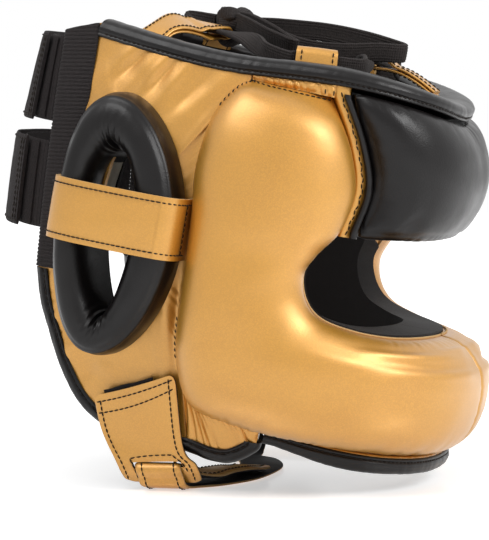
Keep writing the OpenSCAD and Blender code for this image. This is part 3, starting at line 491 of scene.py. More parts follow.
def at_stations(places, s, line):
    """The line, known at lengths s, at other lengths along it."""
    return np.stack([np.interp(places, s, line[:, k]) for k in range(3)], -1)


def stitch_rows(name, rows, material, body="root", posed=True, slot="gold_leather"):
    """One mesh of thread stitches. Each row is its points and normals in millimetres, and whether
    it is also sewn on the mirrored side. A stitch is a bar of thread whose ends dip into the
    leather: its height is h (1 - t^2) at the share t of its half."""
    look = bpy.context.scene.headguard_looks
    pitch = look.stitch_pitch / MM
    half = pitch * look.stitch_share / 2
    radius = look.thread_d / MM / 2
    cuts, corners = 5, 6
    t = np.linspace(-1, 1, cuts)
    ring = turns(corners)[..., None]
    bars = []
    for points, normals, both in rows:
        points, normals = np.asarray(points, float), unit(np.asarray(normals, float))
        s = run_length(points)
        count = int(s[-1] / pitch - 0.3)
        if count < 1:
            continue
        at = (np.arange(count) + 0.5) * s[-1] / count
        spot, n = at_stations(at, s, points), unit(at_stations(at, s, normals))
        ahead = at_stations(at + 0.4, s, points) - at_stations(at - 0.4, s, points)
        run = unit(ahead - np.sum(ahead * n, -1, keepdims=True) * n)
        centre = (spot[:, None] + run[:, None] * (t * half)[:, None]
                  + n[:, None] * ((1 - t ** 2) * radius * 1.3 - radius * 0.5)[:, None])
        size = radius * (1 - 0.75 * np.abs(t) ** 3)
        circle = np.cross(n, run)[:, None] * np.cos(ring) + n[:, None] * np.sin(ring)
        bar = centre[:, :, None] + size[:, None, None] * circle[:, None]
        bars += [(turn(bar), step) for turn, step in ((same, 1), (flip, -1))[:1 + both]]
    i, j = np.arange(cuts - 1)[:, None] * corners, np.arange(corners)[None]
    after = (j + 1) % corners
    one = np.stack([i + j, i + after, i + corners + after, i + corners + j], -1).reshape(-1, 4)
    caps = np.stack([np.arange(corners)[::-1], (cuts - 1) * corners + np.arange(corners)])
    quads, tips, start = [], [], 0
    for bar, step in bars:
        first = start + np.arange(len(bar))[:, None, None] * cuts * corners
        quads += (first + one[:, ::step]).reshape(-1, 4).tolist()
        tips += (first + caps[:, ::step]).reshape(-1, corners).tolist()
        start += bar.size // 3
    points = placed(np.vstack([bar.reshape(-1, 3) for bar, step in bars]), posed)
    lay(link(name, points, quads + tips, materials=(material,)), body, slot)


def swell(grid, height, loop=False):
    """Moves the points of a grid of closed rings out along the grid's own normals by height."""
    ahead = (np.roll(grid, -1, 0) - np.roll(grid, 1, 0)) / 2 if loop else np.gradient(grid, axis=0)
    around = (np.roll(grid, -1, 1) - np.roll(grid, 1, 1)) / 2
    normal = unit(np.cross(ahead, around))
    out = grid - grid.mean(1, keepdims=True)
    return grid + np.sign(np.sum(normal * out)) * np.asarray(height)[..., None] * normal


# Cheek bumper
# Each row gives the rear and the front edge as plan angle and height, then the thickness and
# the depth of the widest line, from the temple to the centre seam of the face bar.
BUMPER = np.array([
    [-15, BUMPER_TOP_Z, seam_th(99), BUMPER_TOP_Z - 2, EDGE_T + 3, 8],
    [-10, BUMPER_TOP_Z - 5.5, seam_th(85), BUMPER_TOP_Z - 16, CHEEK_T - 8, 13],
    [-3.4, 79, seam_th(70), 70, CHEEK_T - 2, 15],
    [-0.5, 52, seam_th(50), 50, CHEEK_T, 16],
    [-2, 26, seam_th(BROW_Z), BROW_Z, CHEEK_T, 16],
    [-3, 2, -43.6, 14, CHEEK_T, 16],
    [-3.5, -24, -41, 2, mix(CHEEK_T, BAR_T, 0.2), 16],
    [-5.5, -54, -42.5, BAR_TOP_Z + 15, mix(CHEEK_T, BAR_T, 0.4), 18],
    [-14, BAR_LOW_Z + 11, -47, BAR_TOP_Z + 5.5, mix(CHEEK_T, BAR_T, 0.6), 20],
    [-31, BAR_LOW_Z + 4, -55, BAR_TOP_Z + 1, mix(CHEEK_T, BAR_T, 0.8), 22],
    [-50, BAR_LOW_Z + 1.5, -64, BAR_TOP_Z - 0.5, mix(CHEEK_T, BAR_T, 0.9), 24],
    [-70, BAR_LOW_Z, -77, BAR_TOP_Z, BAR_T, 24],
    [-89.9, BAR_LOW_Z, -89.9, BAR_TOP_Z, BAR_T - 1, 24],
], float)
BAR_END = len(BUMPER) - 1


def bumper(u, phi, e=0):
    """Point of the bumper at station u and angle phi round its section, e inside its face. The
    section is a superellipse between the rear edge at phi 0 and the front edge at pi."""
    s = np.moveaxis(spline(BUMPER, u), -1, 0)
    w = np.linalg.norm(shell(s[2], s[3], s[5]) - shell(s[0], s[1], s[5]), axis=-1)
    c, v = np.cos(phi), np.sin(phi)
    m = np.where(v >= 0, 2.3, mix(4.5, 2.6, ease((u - 5) / 5)))
    q = 0.5 - (0.5 - e / w) * pw(c, 2 / m)
    rise = np.where(v >= 0, s[4] - s[5] - e, s[5] - GAP - e)
    return shell(mix(s[0], s[2], q), mix(s[1], s[3], q), s[5] + rise * pw(v, 2 / m))


def rear_yz(u):
    """Rear edge of the bumper as y and z."""
    s = spline(BUMPER, u)
    return np.stack([depth_y(s[..., 0], s[..., 1]), s[..., 1]], -1)


def rear_out(u, g):
    """Point g outside the rear edge of the bumper, as y and z."""
    run = unit(rear_yz(u + 0.05) - rear_yz(u - 0.05))
    return rear_yz(u) + g * np.stack([-run[..., 1], run[..., 0]], -1)


# Rolled pleats of the face bar: station, angle, tilt, half length, half width and height
BAR_PLEATS = [
    [10.35, 9.3, 4, 0.9, 0.33, 2.2], [10.8, 8.5, 4, 1.0, 0.3, -1.3], [11.25, 9.9, 3, 0.6, 0.3, 1.8],
    [11.05, 7.9, 3, 0.7, 0.33, 1.2], [9.2, 8.2, 5, 0.9, 0.5, 0.7],
]


def bumper_relief(u, phi):
    """Height of the bumper's leather over its plain form: puckers along both sewn edges, pleats
    on the face bar and faint dents, from -2 to 2 mm."""
    a = np.degrees(phi)
    a = np.where(a > 180, a - 360, a)
    s = run_length(bumper(u, 0.3))
    low = ease((u - 7.6) / 1.2)
    rear = bell(a - 15, 12) * mix(0.28, 1.0, low) * gathers(s, 6.2, 3)
    rear = rear + bell(a - 30, 20) * low * 0.8 * gathers(s + a * 0.12, 15, 8)
    t = run_length(bumper(u, 2.8))
    front = bell(a - 166, 12) * mix(0.12, 0.5, ease((u - 9) / 1.5)) * gathers(t, 7, 5)
    pleats = folds(u, a / 15, BAR_PLEATS) * (a > 0)
    dents = ripple(s, a * 0.9, 46, 12) * 0.5 * np.sin(np.radians(np.clip(a, 0, 180)))
    middle = 0.4 * ease((u - 11) / 0.9) * gathers(a * 0.8, 7, 21) * (a > 0)
    return rear + front + pleats + dents + middle


def make_bumpers(gold, edge, thread):
    """Both covers, drawn in where they are sewn at the temple and the centre, the cut edge round
    the eye opening as a thin tube, and the seam stitches."""
    nip, temple_tuck, centre_tuck = 0.12, 1.6, 2.2
    u, phi = stations(0, BAR_END, 301), turns(96)
    tuck = centre_tuck * np.clip((u - BAR_END + nip) / nip, 0, 1) ** 2
    tuck = tuck + temple_tuck * np.clip((nip - u) / nip, 0, 1) ** 2
    grid = swell(bumper(u, phi, tuck), bumper_relief(u, phi))
    a = np.degrees(np.minimum(phi, 2 * np.pi - phi))
    # Painted shade: the gold darkens towards both sewn edges of the bumper's section.
    seam = np.broadcast_to(np.maximum(bell(a, 9), bell(180 - a, 7)), grid.shape[:2])
    pair("cheek_bumper", grid, gold, "gold_leather", fill=0.85, seam=seam, fan=True)
    t, front = np.linspace(4.35, 11.95, 240), np.radians(181)
    line = bumper(t, front, -0.5)
    out = unit(bumper(t, front, -2) - line)[:, None]
    beside = np.cross(unit(np.gradient(line, axis=0))[:, None], out)
    ring, radius = turns(8)[..., None], 0.75
    tube = line[:, None] + radius * (np.cos(ring) * out + np.sin(ring) * beside)
    pair("eye_edge", tube, edge, "gold_leather", extra=True, fan=True)
    rear, rows = np.radians(20), []
    for start, stop in ((0.02, 1.75), (6.3, 7.1)):
        t = np.linspace(start, stop, 60)
        rows.append(sewn(lambda d: bumper(t, rear, -d), 0, 0.1, True))
    t = np.linspace(25, 155, 30)
    top = bumper(nip + 0 * t, np.radians(t))
    rows.append((top, np.broadcast_to([-0.7, -0.7, 0.6], top.shape), True))
    stitch_rows("bumper_stitches", rows, thread)


def make_bumper_foams(foam):
    """The bumper's own form, one cover and a little air inside it. It starts below the thin top."""
    grid = bumper(stations(0.62, BAR_END, 41), turns(24), COVER_T + CORE_GAP)
    pair("bumper_foam", grid, foam, "foam", fill=1, fan=True)


def make_cheek_linings(lining):
    """Strip behind the bumper from the rim to the centre seam, with a lip that turns out over
    the bumper's inner half round the eye opening."""
    u = np.linspace(0, BAR_END, 181)
    s = spline(BUMPER, u)
    s = np.vstack([[s[0, 0], rim_z(s[0, 0]), s[0, 2], rim_z(s[0, 2]), s[0, 4], s[0, 5]], s])
    lip = np.concatenate([[0], ease((u - 4.5) / 0.9)])[:, None]
    rear, front = s[:, None, 0:2], s[:, None, 2:4]
    w = np.linalg.norm(shell(s[:, 0], s[:, 1], 0) - shell(s[:, 2], s[:, 3], 0), axis=-1)[:, None]
    q0 = 1 + GAP * lip / w
    q1 = q0 + (0.1 + LINING_T * 0.7 * lip) / w
    high = lip * (s[:, 5:6] - 3)
    q = across(17)[:, :-1] + 0 * lip
    f = across(6) + 0 * lip
    share = np.concatenate([q, q0 + 0 * f, q1 + 0 * f, q[:, ::-1]], 1)
    depth = np.concatenate([0 * q, high * f, mix(high, -LINING_T, f), 0 * q - LINING_T], 1)
    place = rear + (front - rear) * share[..., None]
    pair("cheek_lining", shell(place[..., 0], place[..., 1], depth), lining, "black_lining")


# Side panel
JAW = [[-8, JAW_Z], [12, JAW_Z + 1], [30, JAW_Z + 3], [45, JAW_Z + 6]]
REAR = [[59, JAW_Z + 16], [71, JAW_Z + 33], [80, JAW_Z + 51], [87, -41], [REAR_Y, TAPE_LOW_Z]]
REAR_TOP = [float(back_y(CORNER_Z)), CORNER_Z]
NOTCH = [[float(rear_yz(9.4)[0]), BAR_LOW_Z - 3.5], [-42, BAR_LOW_Z - 10], [-31, JAW_Z - 1], [-20, JAW_Z - 2]]
# Lower edge of the guard from the chin notch to the rear tape
LOWER_EDGE = NOTCH + JAW + REAR
# Plan angle where the crown binding ends at the rear tape
CROWN_END = float(th_of(REAR_TOP[0] - TAPE_W - 2 * GAP, RIM_REAR_Z))
# Clearance of the panel to the bumper
EDGE_GAP = GAP + 0.2
# How far the panel's hole is wider than the ring's opening, and how much lower their tops are
PANEL_HOLE = 2.5
OPEN_DROP = 9
# Rings of the panel beside the bumper, and points of a ring across its outer face
FRONT_ROWS = 150
PANEL_CUTS = 52


def leaned(y, z):
    """Vector in the side plane, turned with the lean of the ear ring."""
    c, s = cos_sin(EAR_LEAN)
    return np.stack(np.broadcast_arrays(y * c + z * s, z * c - y * s), -1)


def oval_r(v, a, b):
    """Distance from the ear centre to the leaned oval of half sizes a and b, towards v."""
    c, s = cos_sin(EAR_LEAN)
    y, z = v[..., 0] * c - v[..., 1] * s, v[..., 1] * c + v[..., 0] * s
    return np.linalg.norm(v, axis=-1) / np.hypot(y / a, z / b)


def outline():
    """The panel's outline as rows of y, z and the width of the edge strip that stays thin."""
    front = rear_out(np.linspace(0, 7, FRONT_ROWS), EDGE_GAP)
    low = spline(LOWER_EDGE, np.linspace(4, 12, 170))
    low[0, 0] += EDGE_GAP
    rear = np.linspace(REAR[-1], REAR_TOP, 91)[1:]
    th = np.linspace(CROWN_END, -15, 100)
    rim = np.stack([depth_y(th, rim_z(th)), rim_z(th)], -1)
    rim[-1, 0] += EDGE_GAP
    spoke = np.linalg.norm(rear - [OPEN_Y, EAR_Z], axis=-1) / np.abs(rear[:, 0] - OPEN_Y)
    width = np.concatenate([
        np.full(len(front), 6.0), np.linspace(18, 23, len(low)), (TAPE_W + 2) * spoke, np.full(len(rim), 18.0)
    ])
    tail = np.concatenate([width[-6:], width, width[:6]])
    width = np.convolve(tail, np.ones(13) / 13, "valid")
    return np.column_stack([np.vstack([front, low, rear, rim]), width])


# Folds of the side panel: y, z, angle, half length, half width and height
PANEL_FOLDS = [
    [63, 101, -55, 13, 4, 1.5], [56.5, 100, -55, 11, 2.2, -1.6], [50, 97, -58, 15, 3.4, 1.2],
    [43.5, 97, -60, 13, 3.2, 1.8], [38.5, 97, -60, 11, 2.2, -1.5], [32, 93, -60, 15, 3.6, 1.5],
    [22, 88, -55, 14, 3.5, -1.1], [13, 88, -50, 16, 5, 0.9],
    [15, -33, 83, 30, 4.5, 1.8], [8.5, -30, 88, 26, 2.8, -1.5], [4, -46, 85, 22, 2, 1.0],
    [43, -72, 15, 10, 5, 1.4], [30, -72, -20, 12, 4, -0.8], [63, -62, -60, 14, 5, 1.5],
    [54, -74, -50, 10, 4, -1.0],
    [74, -40, -72, 20, 4, 1.0], [20, -85, 20, 16, 4, 0.8], [70, 84, 60, 10, 4, 1.0], [78, 60, 85, 20, 4, 0.8],
]


def panel_grid(hole, d_in, d_mid, d_edge, count, every=1, folded=False, inset=0.0):
    """Rings of the panel along its outline. Each runs out along a spoke from the ear hole to
    the edge on the outer face, whose depth eases from d_mid to d_edge, and back inside at the
    depth d_in, or one cover under the outer face. The hole is wider than the ear opening by
    hole, and the edge lies inset inside the outline."""
    rows = outline()[::every]
    centre = np.array([OPEN_Y, EAR_Z])
    v = rows[:, :2] - centre
    far = np.linalg.norm(v, axis=-1) - inset
    near = oval_r(v, EAR_OPEN_W + hole, EAR_OPEN_H + hole) - OPEN_DROP * np.maximum(0, unit(v)[:, 1]) ** 2
    f3 = np.maximum(0.14, 1 - rows[:, 2] / (far - near))
    f1 = np.minimum(f3 - 0.1, (oval_r(v, EAR_HALF_W * 0.6, EAR_HALF_H * 0.75) - near) / (far - near))
    f2 = np.maximum(0.04, f1)
    s = across(count)
    at = centre + unit(v)[:, None] * mix(near[:, None], far[:, None], s)[..., None]
    depth = mix(d_mid, d_edge, ease((s - f2[:, None]) / (f3 - f2)[:, None]))
    inner = np.where(s > 1 - 0.5 / count, GAP, depth - COVER_T) if d_in is None else np.full_like(depth, d_in)
    y, z = at[..., 0], at[..., 1]
    if folded:
        run = run_length(np.vstack([rows[:, :2], rows[:1, :2]]))[:-1][:, None]
        from_edge = (1 - s) * (far - near)[:, None]
        at_bumper = (np.arange(len(rows)) < FRONT_ROWS / every)[:, None]
        pucker = gathers(run, 7.5, 31) * bell(from_edge - 3, 8) * 0.55
        pucker = pucker + at_bumper * gathers(run, 5.2, 14) * bell(from_edge, 5) * 0.7
        relief = folds(y, z, PANEL_FOLDS) + pucker * ease(s * 4) + 0.3 * ripple(y, z, 19, 4)
        depth = depth + relief * (1 - bell(8 * s, 1))
    return there_and_back(side(y, z, depth), side(y, z, inner))


def make_panels(gold):
    """Panel covers, with painted shade that darkens their colour where they are sewn at the outline."""
    grid = panel_grid(PANEL_HOLE, None, PANEL_T, EDGE_T, PANEL_CUTS, folded=True)
    # Painted shade that darkens the gold towards the sewn outline.
    shade = bell((1 - across(PANEL_CUTS)) * 60, 3)
    shade = np.broadcast_to(there_and_back(shade, shade), grid.shape[:2])
    pair("side_panel", grid, gold, "gold_leather", fill=0.5, loop=True, seam=shade)


def make_panel_foams(foam):
    """Foam one cover and a little air inside the panel's outer face."""
    drop = COVER_T + 2 * GAP
    grid = panel_grid(PANEL_HOLE + 1, 2 * GAP, PANEL_T - drop, EDGE_T - drop, 12, every=6, inset=1.5)
    pair("side_foam", grid, foam, "foam", fill=1, loop=True)


def make_side_linings(lining):
    """Lining over the panel's whole inside."""
    grid = panel_grid(PANEL_HOLE, -LINING_T, 0, 0, 24, every=2)
    pair("side_lining", grid, lining, "black_lining", loop=True)


# Ear ring and band

def make_ear_rings(black):
    """Ring of superellipse sections between the opening and the outer oval, on the panel. Pleats
    fan out from the two pinched ends of the opening, and a seam runs inside the outer edge."""
    f = stations(0, 360, 361)[:-1]
    a = np.radians(f)
    bow = EAR_BOW * np.sin(a) ** 2
    outer = np.array([EAR_Y, EAR_Z]) + leaned(EAR_HALF_W * np.cos(a) + bow, EAR_HALF_H * np.sin(a))
    point = np.where(a < np.pi, 1.0, 1.3)
    top_drop = OPEN_DROP * np.maximum(0, np.sin(a)) ** 2
    inner = np.array([OPEN_Y, EAR_Z]) + leaned(
        EAR_OPEN_W * pw(np.cos(a), point), EAR_OPEN_H * pw(np.sin(a), point) - top_drop)
    j = turns(56)
    c, v = np.cos(j), np.sin(j)
    q = 0.5 - 0.5 * pw(c, 2 / 2.4)
    p = inner + (outer - inner) * q[..., None]
    rise = EAR_RING_H * pw(np.maximum(0, v), 2 / np.where(c < 0, 3.4, 2.4))
    drop = (PANEL_T + GAP) * (1 - ease((q - 0.045) / 0.03)) * (v < -0.02)
    grid = side(p[..., 0], p[..., 1], PANEL_T + GAP + rise - drop)
    top = (v > 0.02) * 1.0
    relief = 0
    for pinch in (90, 270):
        away = (f - pinch) + 3 * np.sin(q * 6)
        fan = bell(away, 17) * bell(q - 0.12, 0.34)
        relief = relief + fan * (0.95 * np.sin(np.radians(away) * 38) - 0.5)
        relief = relief + bell(f - pinch, 5) * bell(q, 0.22) * -1.8
    welt = 0.55 * bell(q - 0.9, 0.022) - 0.5 * bell(q - 0.85, 0.03) - 0.4 * bell(q - 0.95, 0.03)
    relief = relief + welt + 0.25 * ripple(f, q * 30, 26, 9)
    pair("ear_ring", swell(grid, relief * top, loop=True), black, "black_leather", fill=0.9, loop=True)


# Length of the band's rear foot, then its middle, half width and ends along Y
BAND_FOOT = 3
BAND_MID_Y = EAR_Y + 0.8
BAND_HALF = EAR_HALF_W + 1.1
BAND_FRONT = BAND_MID_Y - BAND_HALF
BAND_REAR = BAND_MID_Y + BAND_HALF


def band_line(o):
    """Profile of the band o outside its inner face, from the front foot over the ring to the
    rear foot, as y and depth. The arch is a superellipse with square shoulders."""
    foot, height = PANEL_T + GAP, EAR_RING_H + 2
    low = EDGE_T + 2 * GAP + BIND_T + o
    c, s = cos_sin(np.linspace(180, 0, 97))
    arch = np.stack([BAND_MID_Y + (BAND_HALF + o) * pw(c, 0.5), foot + (height + o) * pw(s, 0.5)], -1)
    front = [[BAND_FRONT - o, d] for d in np.linspace(EDGE_T + 0.7, foot, 6)[:-1]]
    rear = [[BAND_REAR + 0.4 + o, low], [BAND_REAR + BAND_FOOT, low]]
    return np.vstack([front, arch, rear])


def make_ear_bands(gold, edge, thread):
    """Band carried up the side along its profile, with a hem at the front and seams all round."""
    seam_in, hem_y, foot_d = 3.2, BAND_FRONT + 9, 26
    z = stations(BAND_Z, BAND_Z + BAND_H, 25)
    inner, outer = band_line(0), band_line(BAND_T)
    hem = 0.7 * ease((hem_y - outer[:, 0]) / 0.8) * ease((outer[:, 1] - foot_d) / 8)
    soft = 0.25 * ripple(outer[:, 0], z, 17, 2) + 0.35 * np.sin(np.pi * (z - BAND_Z) / BAND_H) + hem
    y, d = np.broadcast_arrays(outer[:, 0], outer[:, 1] + soft * (outer[:, 1] > 18))
    grid = there_and_back(side(y, z, d), side(inner[:, 0] + 0 * z, z, inner[:, 1] + 0 * z))
    pick = np.repeat([0, 1], [len(outer), len(inner)])
    line = outer[outer[:, 1] > PANEL_T + 4]
    rows = []
    for height in (BAND_Z + seam_in, BAND_Z + BAND_H - seam_in):
        rows.append(sewn(lambda d: side(line[:, 0], height, line[:, 1] + d), 0, 0.5, True))
    up = np.linspace(BAND_Z + 3, BAND_Z + BAND_H - 3, 20)
    rows.append(sewn(lambda d: side(hem_y + 0.5, up, d), 39.7, 0, True))
    foot = side(BAND_FRONT - BAND_T, up, foot_d)
    rows.append((foot, np.broadcast_to([0, -1.0, 0], foot.shape), True))
    pair("ear_band", grid, (gold, edge), "gold_leather", pick=pick, cap=1)
    stitch_rows("ear_band_stitches", rows, thread)


# Forehead

def pad_th(z):
    """Plan angle of the pad's end, beside the facing and the piping."""
    return seam_th(z) - temple_step(FACING_W) - 1.2


def brow_th(f, z):
    """Plan angle at the share f of the way round the forehead."""
    return mix(pad_th(z), -180 - pad_th(z), f)


def brow_low(f):
    """Lower edge of the forehead, which drops a little towards both temples."""
    return BROW_Z - 3 * np.abs(2 * f - 1) ** 3


def forehead(f, a, e=0):
    """Point of the forehead pad at the share f of the way round, at the angle a round its
    section, e inside its face. The section is a superellipse over the base panel."""
    thin = np.abs(2 * f - 1) ** 7
    thick = mix(PAD_T, 13, thin)
    mid = BASE_T + GAP + thick * 0.42
    low, high = brow_low(f), bind_low(brow_th(f, BUMPER_TOP_Z)) - GAP
    half = (high - low) / 2
    c, v = np.cos(a), np.sin(a)
    m = np.where(v >= 0, 1.85, 4.5)
    z = low + half - (half - e) * pw(c, 2 / m)
    rise = np.where(v >= 0, BASE_T + GAP + thick - e - mid, mid - BASE_T - GAP - e)
    return shell(brow_th(f, z), z, mid + rise * pw(v, 2 / m))


def make_forehead(black):
    """Pad cover, drawn in at both ends, with creases along its edges, at its ends and corners."""
    f, a = stations(0, 1, 201), turns(80)
    nip = 0.03
    end = np.minimum(f, 1 - f)
    grid = forehead(f, a, 1.2 * np.clip((nip - end) / nip, 0, 1) ** 2)
    s = run_length(forehead(f, 0.3))
    deg = np.degrees(a)
    low = bell(deg - 12, 10) * gathers(s, 9, 5) * 0.5 - 0.7 * bell(deg - 26, 4)
    high = bell(deg - 160, 14) * gathers(s, 11, 6) * 0.5
    ends = bell(end, 0.05) * gathers(deg * 0.7, 9, 4) * 0.6
    corner = 1.1 * bell(end - 0.07, 0.03) * bell(deg - 34, 9)
    corner = corner - bell(end - 0.12, 0.03) * bell(deg - 40, 8)
    relief = (deg < 180) * (low + high + ends + corner + 0.3 * ripple(s, deg * 0.8, 40, 3))
    piece("forehead_pad", swell(grid, relief), black, "black_leather", fill=0.95, fan=True)


def make_forehead_foam(foam):
    """The pad's own form, one cover and a little air inside it, short of both ends."""
    grid = forehead(stations(0.037, 0.996, 41), turns(20), COVER_T + 1.3 * CORE_GAP)
    piece("forehead_foam", grid, foam, "foam", fill=1, fan=True)


def make_forehead_base(black):
    """Flat panel behind the pad, which thickens above it to carry the rim."""
    f = stations(0, 1, 121)
    low = brow_low(f)
    neck = bind_low(brow_th(f, BUMPER_TOP_Z))
    rim_th = brow_th(f, RIM_TEMPLE_Z)
    rim, full = rim_z(rim_th), rim_t(rim_th) - 2 * GAP
    z_out = np.concatenate([mix(low, neck - 0.4, across(10)), mix(neck, rim, across(4)[:, 1:])], 1)
    d_out = np.concatenate([np.full((len(f), 10), BASE_T), np.repeat(full, 3, 1)], 1)
    z = there_and_back(mix(low, rim, across(13)), z_out)
    d = there_and_back(np.full(z_out.shape, 2 * GAP), d_out)
    piece("forehead_base", shell(brow_th(f, z), z, d), black, "black_leather", fill=0.6, sharp=45)


def make_forehead_lining(lining):
    """Thin lining behind the base panel, as wide as it and the facings beside it."""
    f = stations(0, 1, 121)
    z = mix(brow_low(f), rim_z(brow_th(f, RIM_TEMPLE_Z)), across(12))
    th = brow_th(f, z) - temple_step(FACING_W + 0.5) * (2 * f - 1)
    grid = there_and_back(shell(th, z, 0), shell(th, z, GAP - LINING_T))
    piece("forehead_lining", grid, lining, "black_lining")


# Temples

def facing_depth(th, z):
    """Depth of the facing's crown: the pad's side wall, drawn in under the rim binding."""
    return np.minimum(FACING_D, rim_t(th) + 6 * ease((bind_low(th) - z) / 8))


def make_temples(gold, black, thread):
    """Facing strip with a rounded crown, round piping beside it, and the crinkled strip that
    fills the space between the bumper's top and the rim."""
    step = temple_step(FACING_W)
    low = brow_low(0)
    z = stations(low, rim_z(seam_th(RIM_TEMPLE_Z) - step / 2), 121)
    q = across(11)
    a = seam_th(z) - 0.2
    th = a - step * q
    d = facing_depth(a - step / 2, z) - np.abs(2 * q - 1) ** 4
    d = d + 0.25 * gathers(z * np.ones_like(q), 8, 2) * bell(q - 0.5, 0.4)
    facing = there_and_back(shell(th, z, d), shell(th, z, GAP + 0 * th))
    r, j = PIPING_D / 2, turns(16)
    z = stations(low, float(bind_low(pad_th(BUMPER_TOP_Z))) - r, 121)
    cord_th = seam_th(z) - temple_step(FACING_W - r) + temple_step(r * np.cos(j))
    cord = shell(cord_th, z, FACING_D + GAP + r + r * np.sin(j))
    cord = swell(cord, 0.15 * gathers(z * np.ones_like(j), 5, 7))
    share = stations(0, 1, 121)
    th = mix(BUMPER[0, 0] - 0.2, BUMPER[0, 2], share)
    low_z = mix(BUMPER[0, 1], BUMPER[0, 3], share) + GAP
    z = mix(low_z, rim_z(th), across(25))
    s = run_length(shell(th[:, 0], z[:, 0], rim_t(th[:, 0])))[:, None]
    crinkle = 0.6 * ripple(s, z, 4.2, 6) + 1.3 * gathers(s + 0.3 * z, 4.5, 3)
    fall = bell(z - low_z, 1.4) * 1.2
    outer = shell(th, z, rim_t(th) + crinkle * (z < rim_z(th) - 8) - fall)
    gather = there_and_back(outer, shell(th, z, GAP + 0 * z))
    for side_name, turn in SIDES:
        piece(f"temple_facing_{side_name}", turn(facing), gold, "gold_leather")
        piece(f"temple_piping_{side_name}", turn(cord), black, "black_leather", fan=True)
        piece(f"temple_gather_{side_name}", turn(gather), gold, "gold_leather")
    zs = np.linspace(low + 1, bind_low(-48) - 1, 60)
    line_th = seam_th(zs) - 0.2 - temple_step(FACING_W * 0.38 + 0.4 * np.sin(zs * 0.9))
    rows = [sewn(lambda d: shell(line_th, zs, d), facing_depth(line_th, zs), 0.05, True)]
    gather_seams = (-40.2, -42.6)
    for th0 in gather_seams:
        up = np.linspace(float(mix(BUMPER[0, 1], BUMPER[0, 3], 0.9)), float(bind_low(th0)), 12)
        rows.append(sewn(lambda d: shell(th0, up, d), rim_t(th0), 0.6, True))
    stitch_rows("temple_stitches", rows, thread)


# Jaw and chin

def lower_edge(t):
    """Lower edge of the guard as y and z, with t counted in its rows."""
    return spline(LOWER_EDGE, t)


# Stations of the bumper where the chin flange starts to come forward, and where it begins
FLANGE_TURN = 9.5
FLANGE_START = 9.5


def flange_d(u):
    """Depth of the flange's middle at station u, which eases out under the face bar."""
    return mix(5, 26, ease((u - FLANGE_TURN) / 1.4))


def flange_low(u):
    """Height of the flange's lower edge at station u."""
    return mix(BAR_LOW_Z - 4, CHIN_Z, ease((u - FLANGE_TURN) / 1.2))


def chin_run(count):
    """Plan angle, height of the bumper's rear edge and station, round both halves of the chin."""
    u = np.linspace(FLANGE_START, BAR_END, count)
    s = spline(BUMPER, u)
    right = np.column_stack([s[:, 0], s[:, 1], u])
    left = right[-2::-1] * [-1, 1, 1] - [180, 0, 0]
    rows = np.vstack([right, left])
    return rows[:, 0:1], rows[:, 1:2], rows[:, 2:3]


def make_jaw(gold):
    """Gusset whose pleats fan out from under the bumper, and the gathered flange of the chin."""
    x = stations(0, 1, 241)[:, 0]
    top = rear_out(mix(9.4, 7, x), EDGE_GAP)
    low = lower_edge(4 * x)
    q = across(37)
    at = low[:, None] + (top - low)[:, None] * q[..., None]
    s = run_length(top)[:, None] + 0 * q
    fan = gathers(s - 9 * (1 - q), 8.5, 17) * np.sin(np.pi * q ** 0.8) * 1.8
    fine = gathers(s + 3 * q, 3.6, 23) * bell(1 - q, 0.35) * 0.8
    y, z = at[..., 0], at[..., 1]
    gusset = there_and_back(side(y, z, EDGE_T - 0.2 + fan + fine), side(y, z, -LINING_T))
    pair("jaw_gusset", gusset, gold, "gold_leather")
    th, z, u = chin_run(141)
    d, bottom, upper = flange_d(u), flange_low(u), z - GAP - 0.1
    a = turns(36)
    s = run_length(shell(th, z, d)) * np.ones_like(a)
    wide = FLANGE_T / 2 + 0.9 * gathers(s, 7, 41) * (np.abs(np.cos(a)) > 0.3)
    height = 0.5 - 0.5 * pw(np.sin(a), 0.4)
    grid = shell(th, mix(bottom, upper, height), d + wide * pw(np.cos(a), 0.4))
    piece("chin_flange", grid, gold, "gold_leather")


# Bindings
# Length of the outer leg on the jaw and on the crown
BINDING_LEG_JAW = 6.3
BINDING_LEG_CROWN = 8
# Distance of a binding's stitch line from its end, and the depth of the groove it draws in
SEW_IN = 2.2
SEW_DEEP = 0.7
# Height of a binding's outer face over the panel's face
BINDING_D = GAP + BIND_T - SEW_DEEP


def channel(leg_out, leg_in, d_in, d_out, puff=0.5):
    """Section of an edge binding as inset from the edge and depth. It runs up the outer leg,
    over the edge on a rounded superellipse and down the inner leg, and back inside. The outer
    leg swells by puff and dips along its stitch line, near its end."""
    b = GAP + BIND_T
    leg_out, leg_in, d_in, d_out = np.broadcast_arrays(
        *(np.asarray(v, float) * np.ones((1, 1)) for v in (leg_out, leg_in, d_in, d_out)))
    q = across(13)
    a = np.radians(np.linspace(90, -90, 23))[None, 1:-1]
    corner = 2.5
    leg = mix(leg_out, corner, q)
    from_end = leg_out - leg
    swell_out = puff * np.sin(np.pi * np.clip((from_end - 2) / (leg_out - corner), 0, 1))
    groove = -0.75 * bell(from_end - SEW_IN, 0.7)
    end = -0.9 * bell(from_end, 0.6)
    high_leg = d_out + b + swell_out + groove + end
    mid, half = (d_in + d_out) / 2, (d_out - d_in) / 2 + b
    over = corner + b + 0.6
    arc_in = corner - over * np.abs(np.cos(a)) ** 0.85
    arc_d = mid + half * pw(np.sin(a), 0.8)
    inner_leg = mix(corner, leg_in, q)
    inset = np.concatenate([leg, arc_in + 0 * d_in, inner_leg + 0 * d_in], 1)
    depth = np.concatenate([high_leg, arc_d, d_in - b + 0 * inner_leg], 1)
    inset, depth = np.broadcast_arrays(inset, depth)
    under = np.clip(depth, d_in - GAP, d_out + GAP)
    under = np.where(inset > 2.4, np.where(depth > mid, d_out + GAP, d_in - GAP), under)
    lift = np.maximum(inset, -GAP)
    return there_and_back(inset, lift), there_and_back(depth, under)


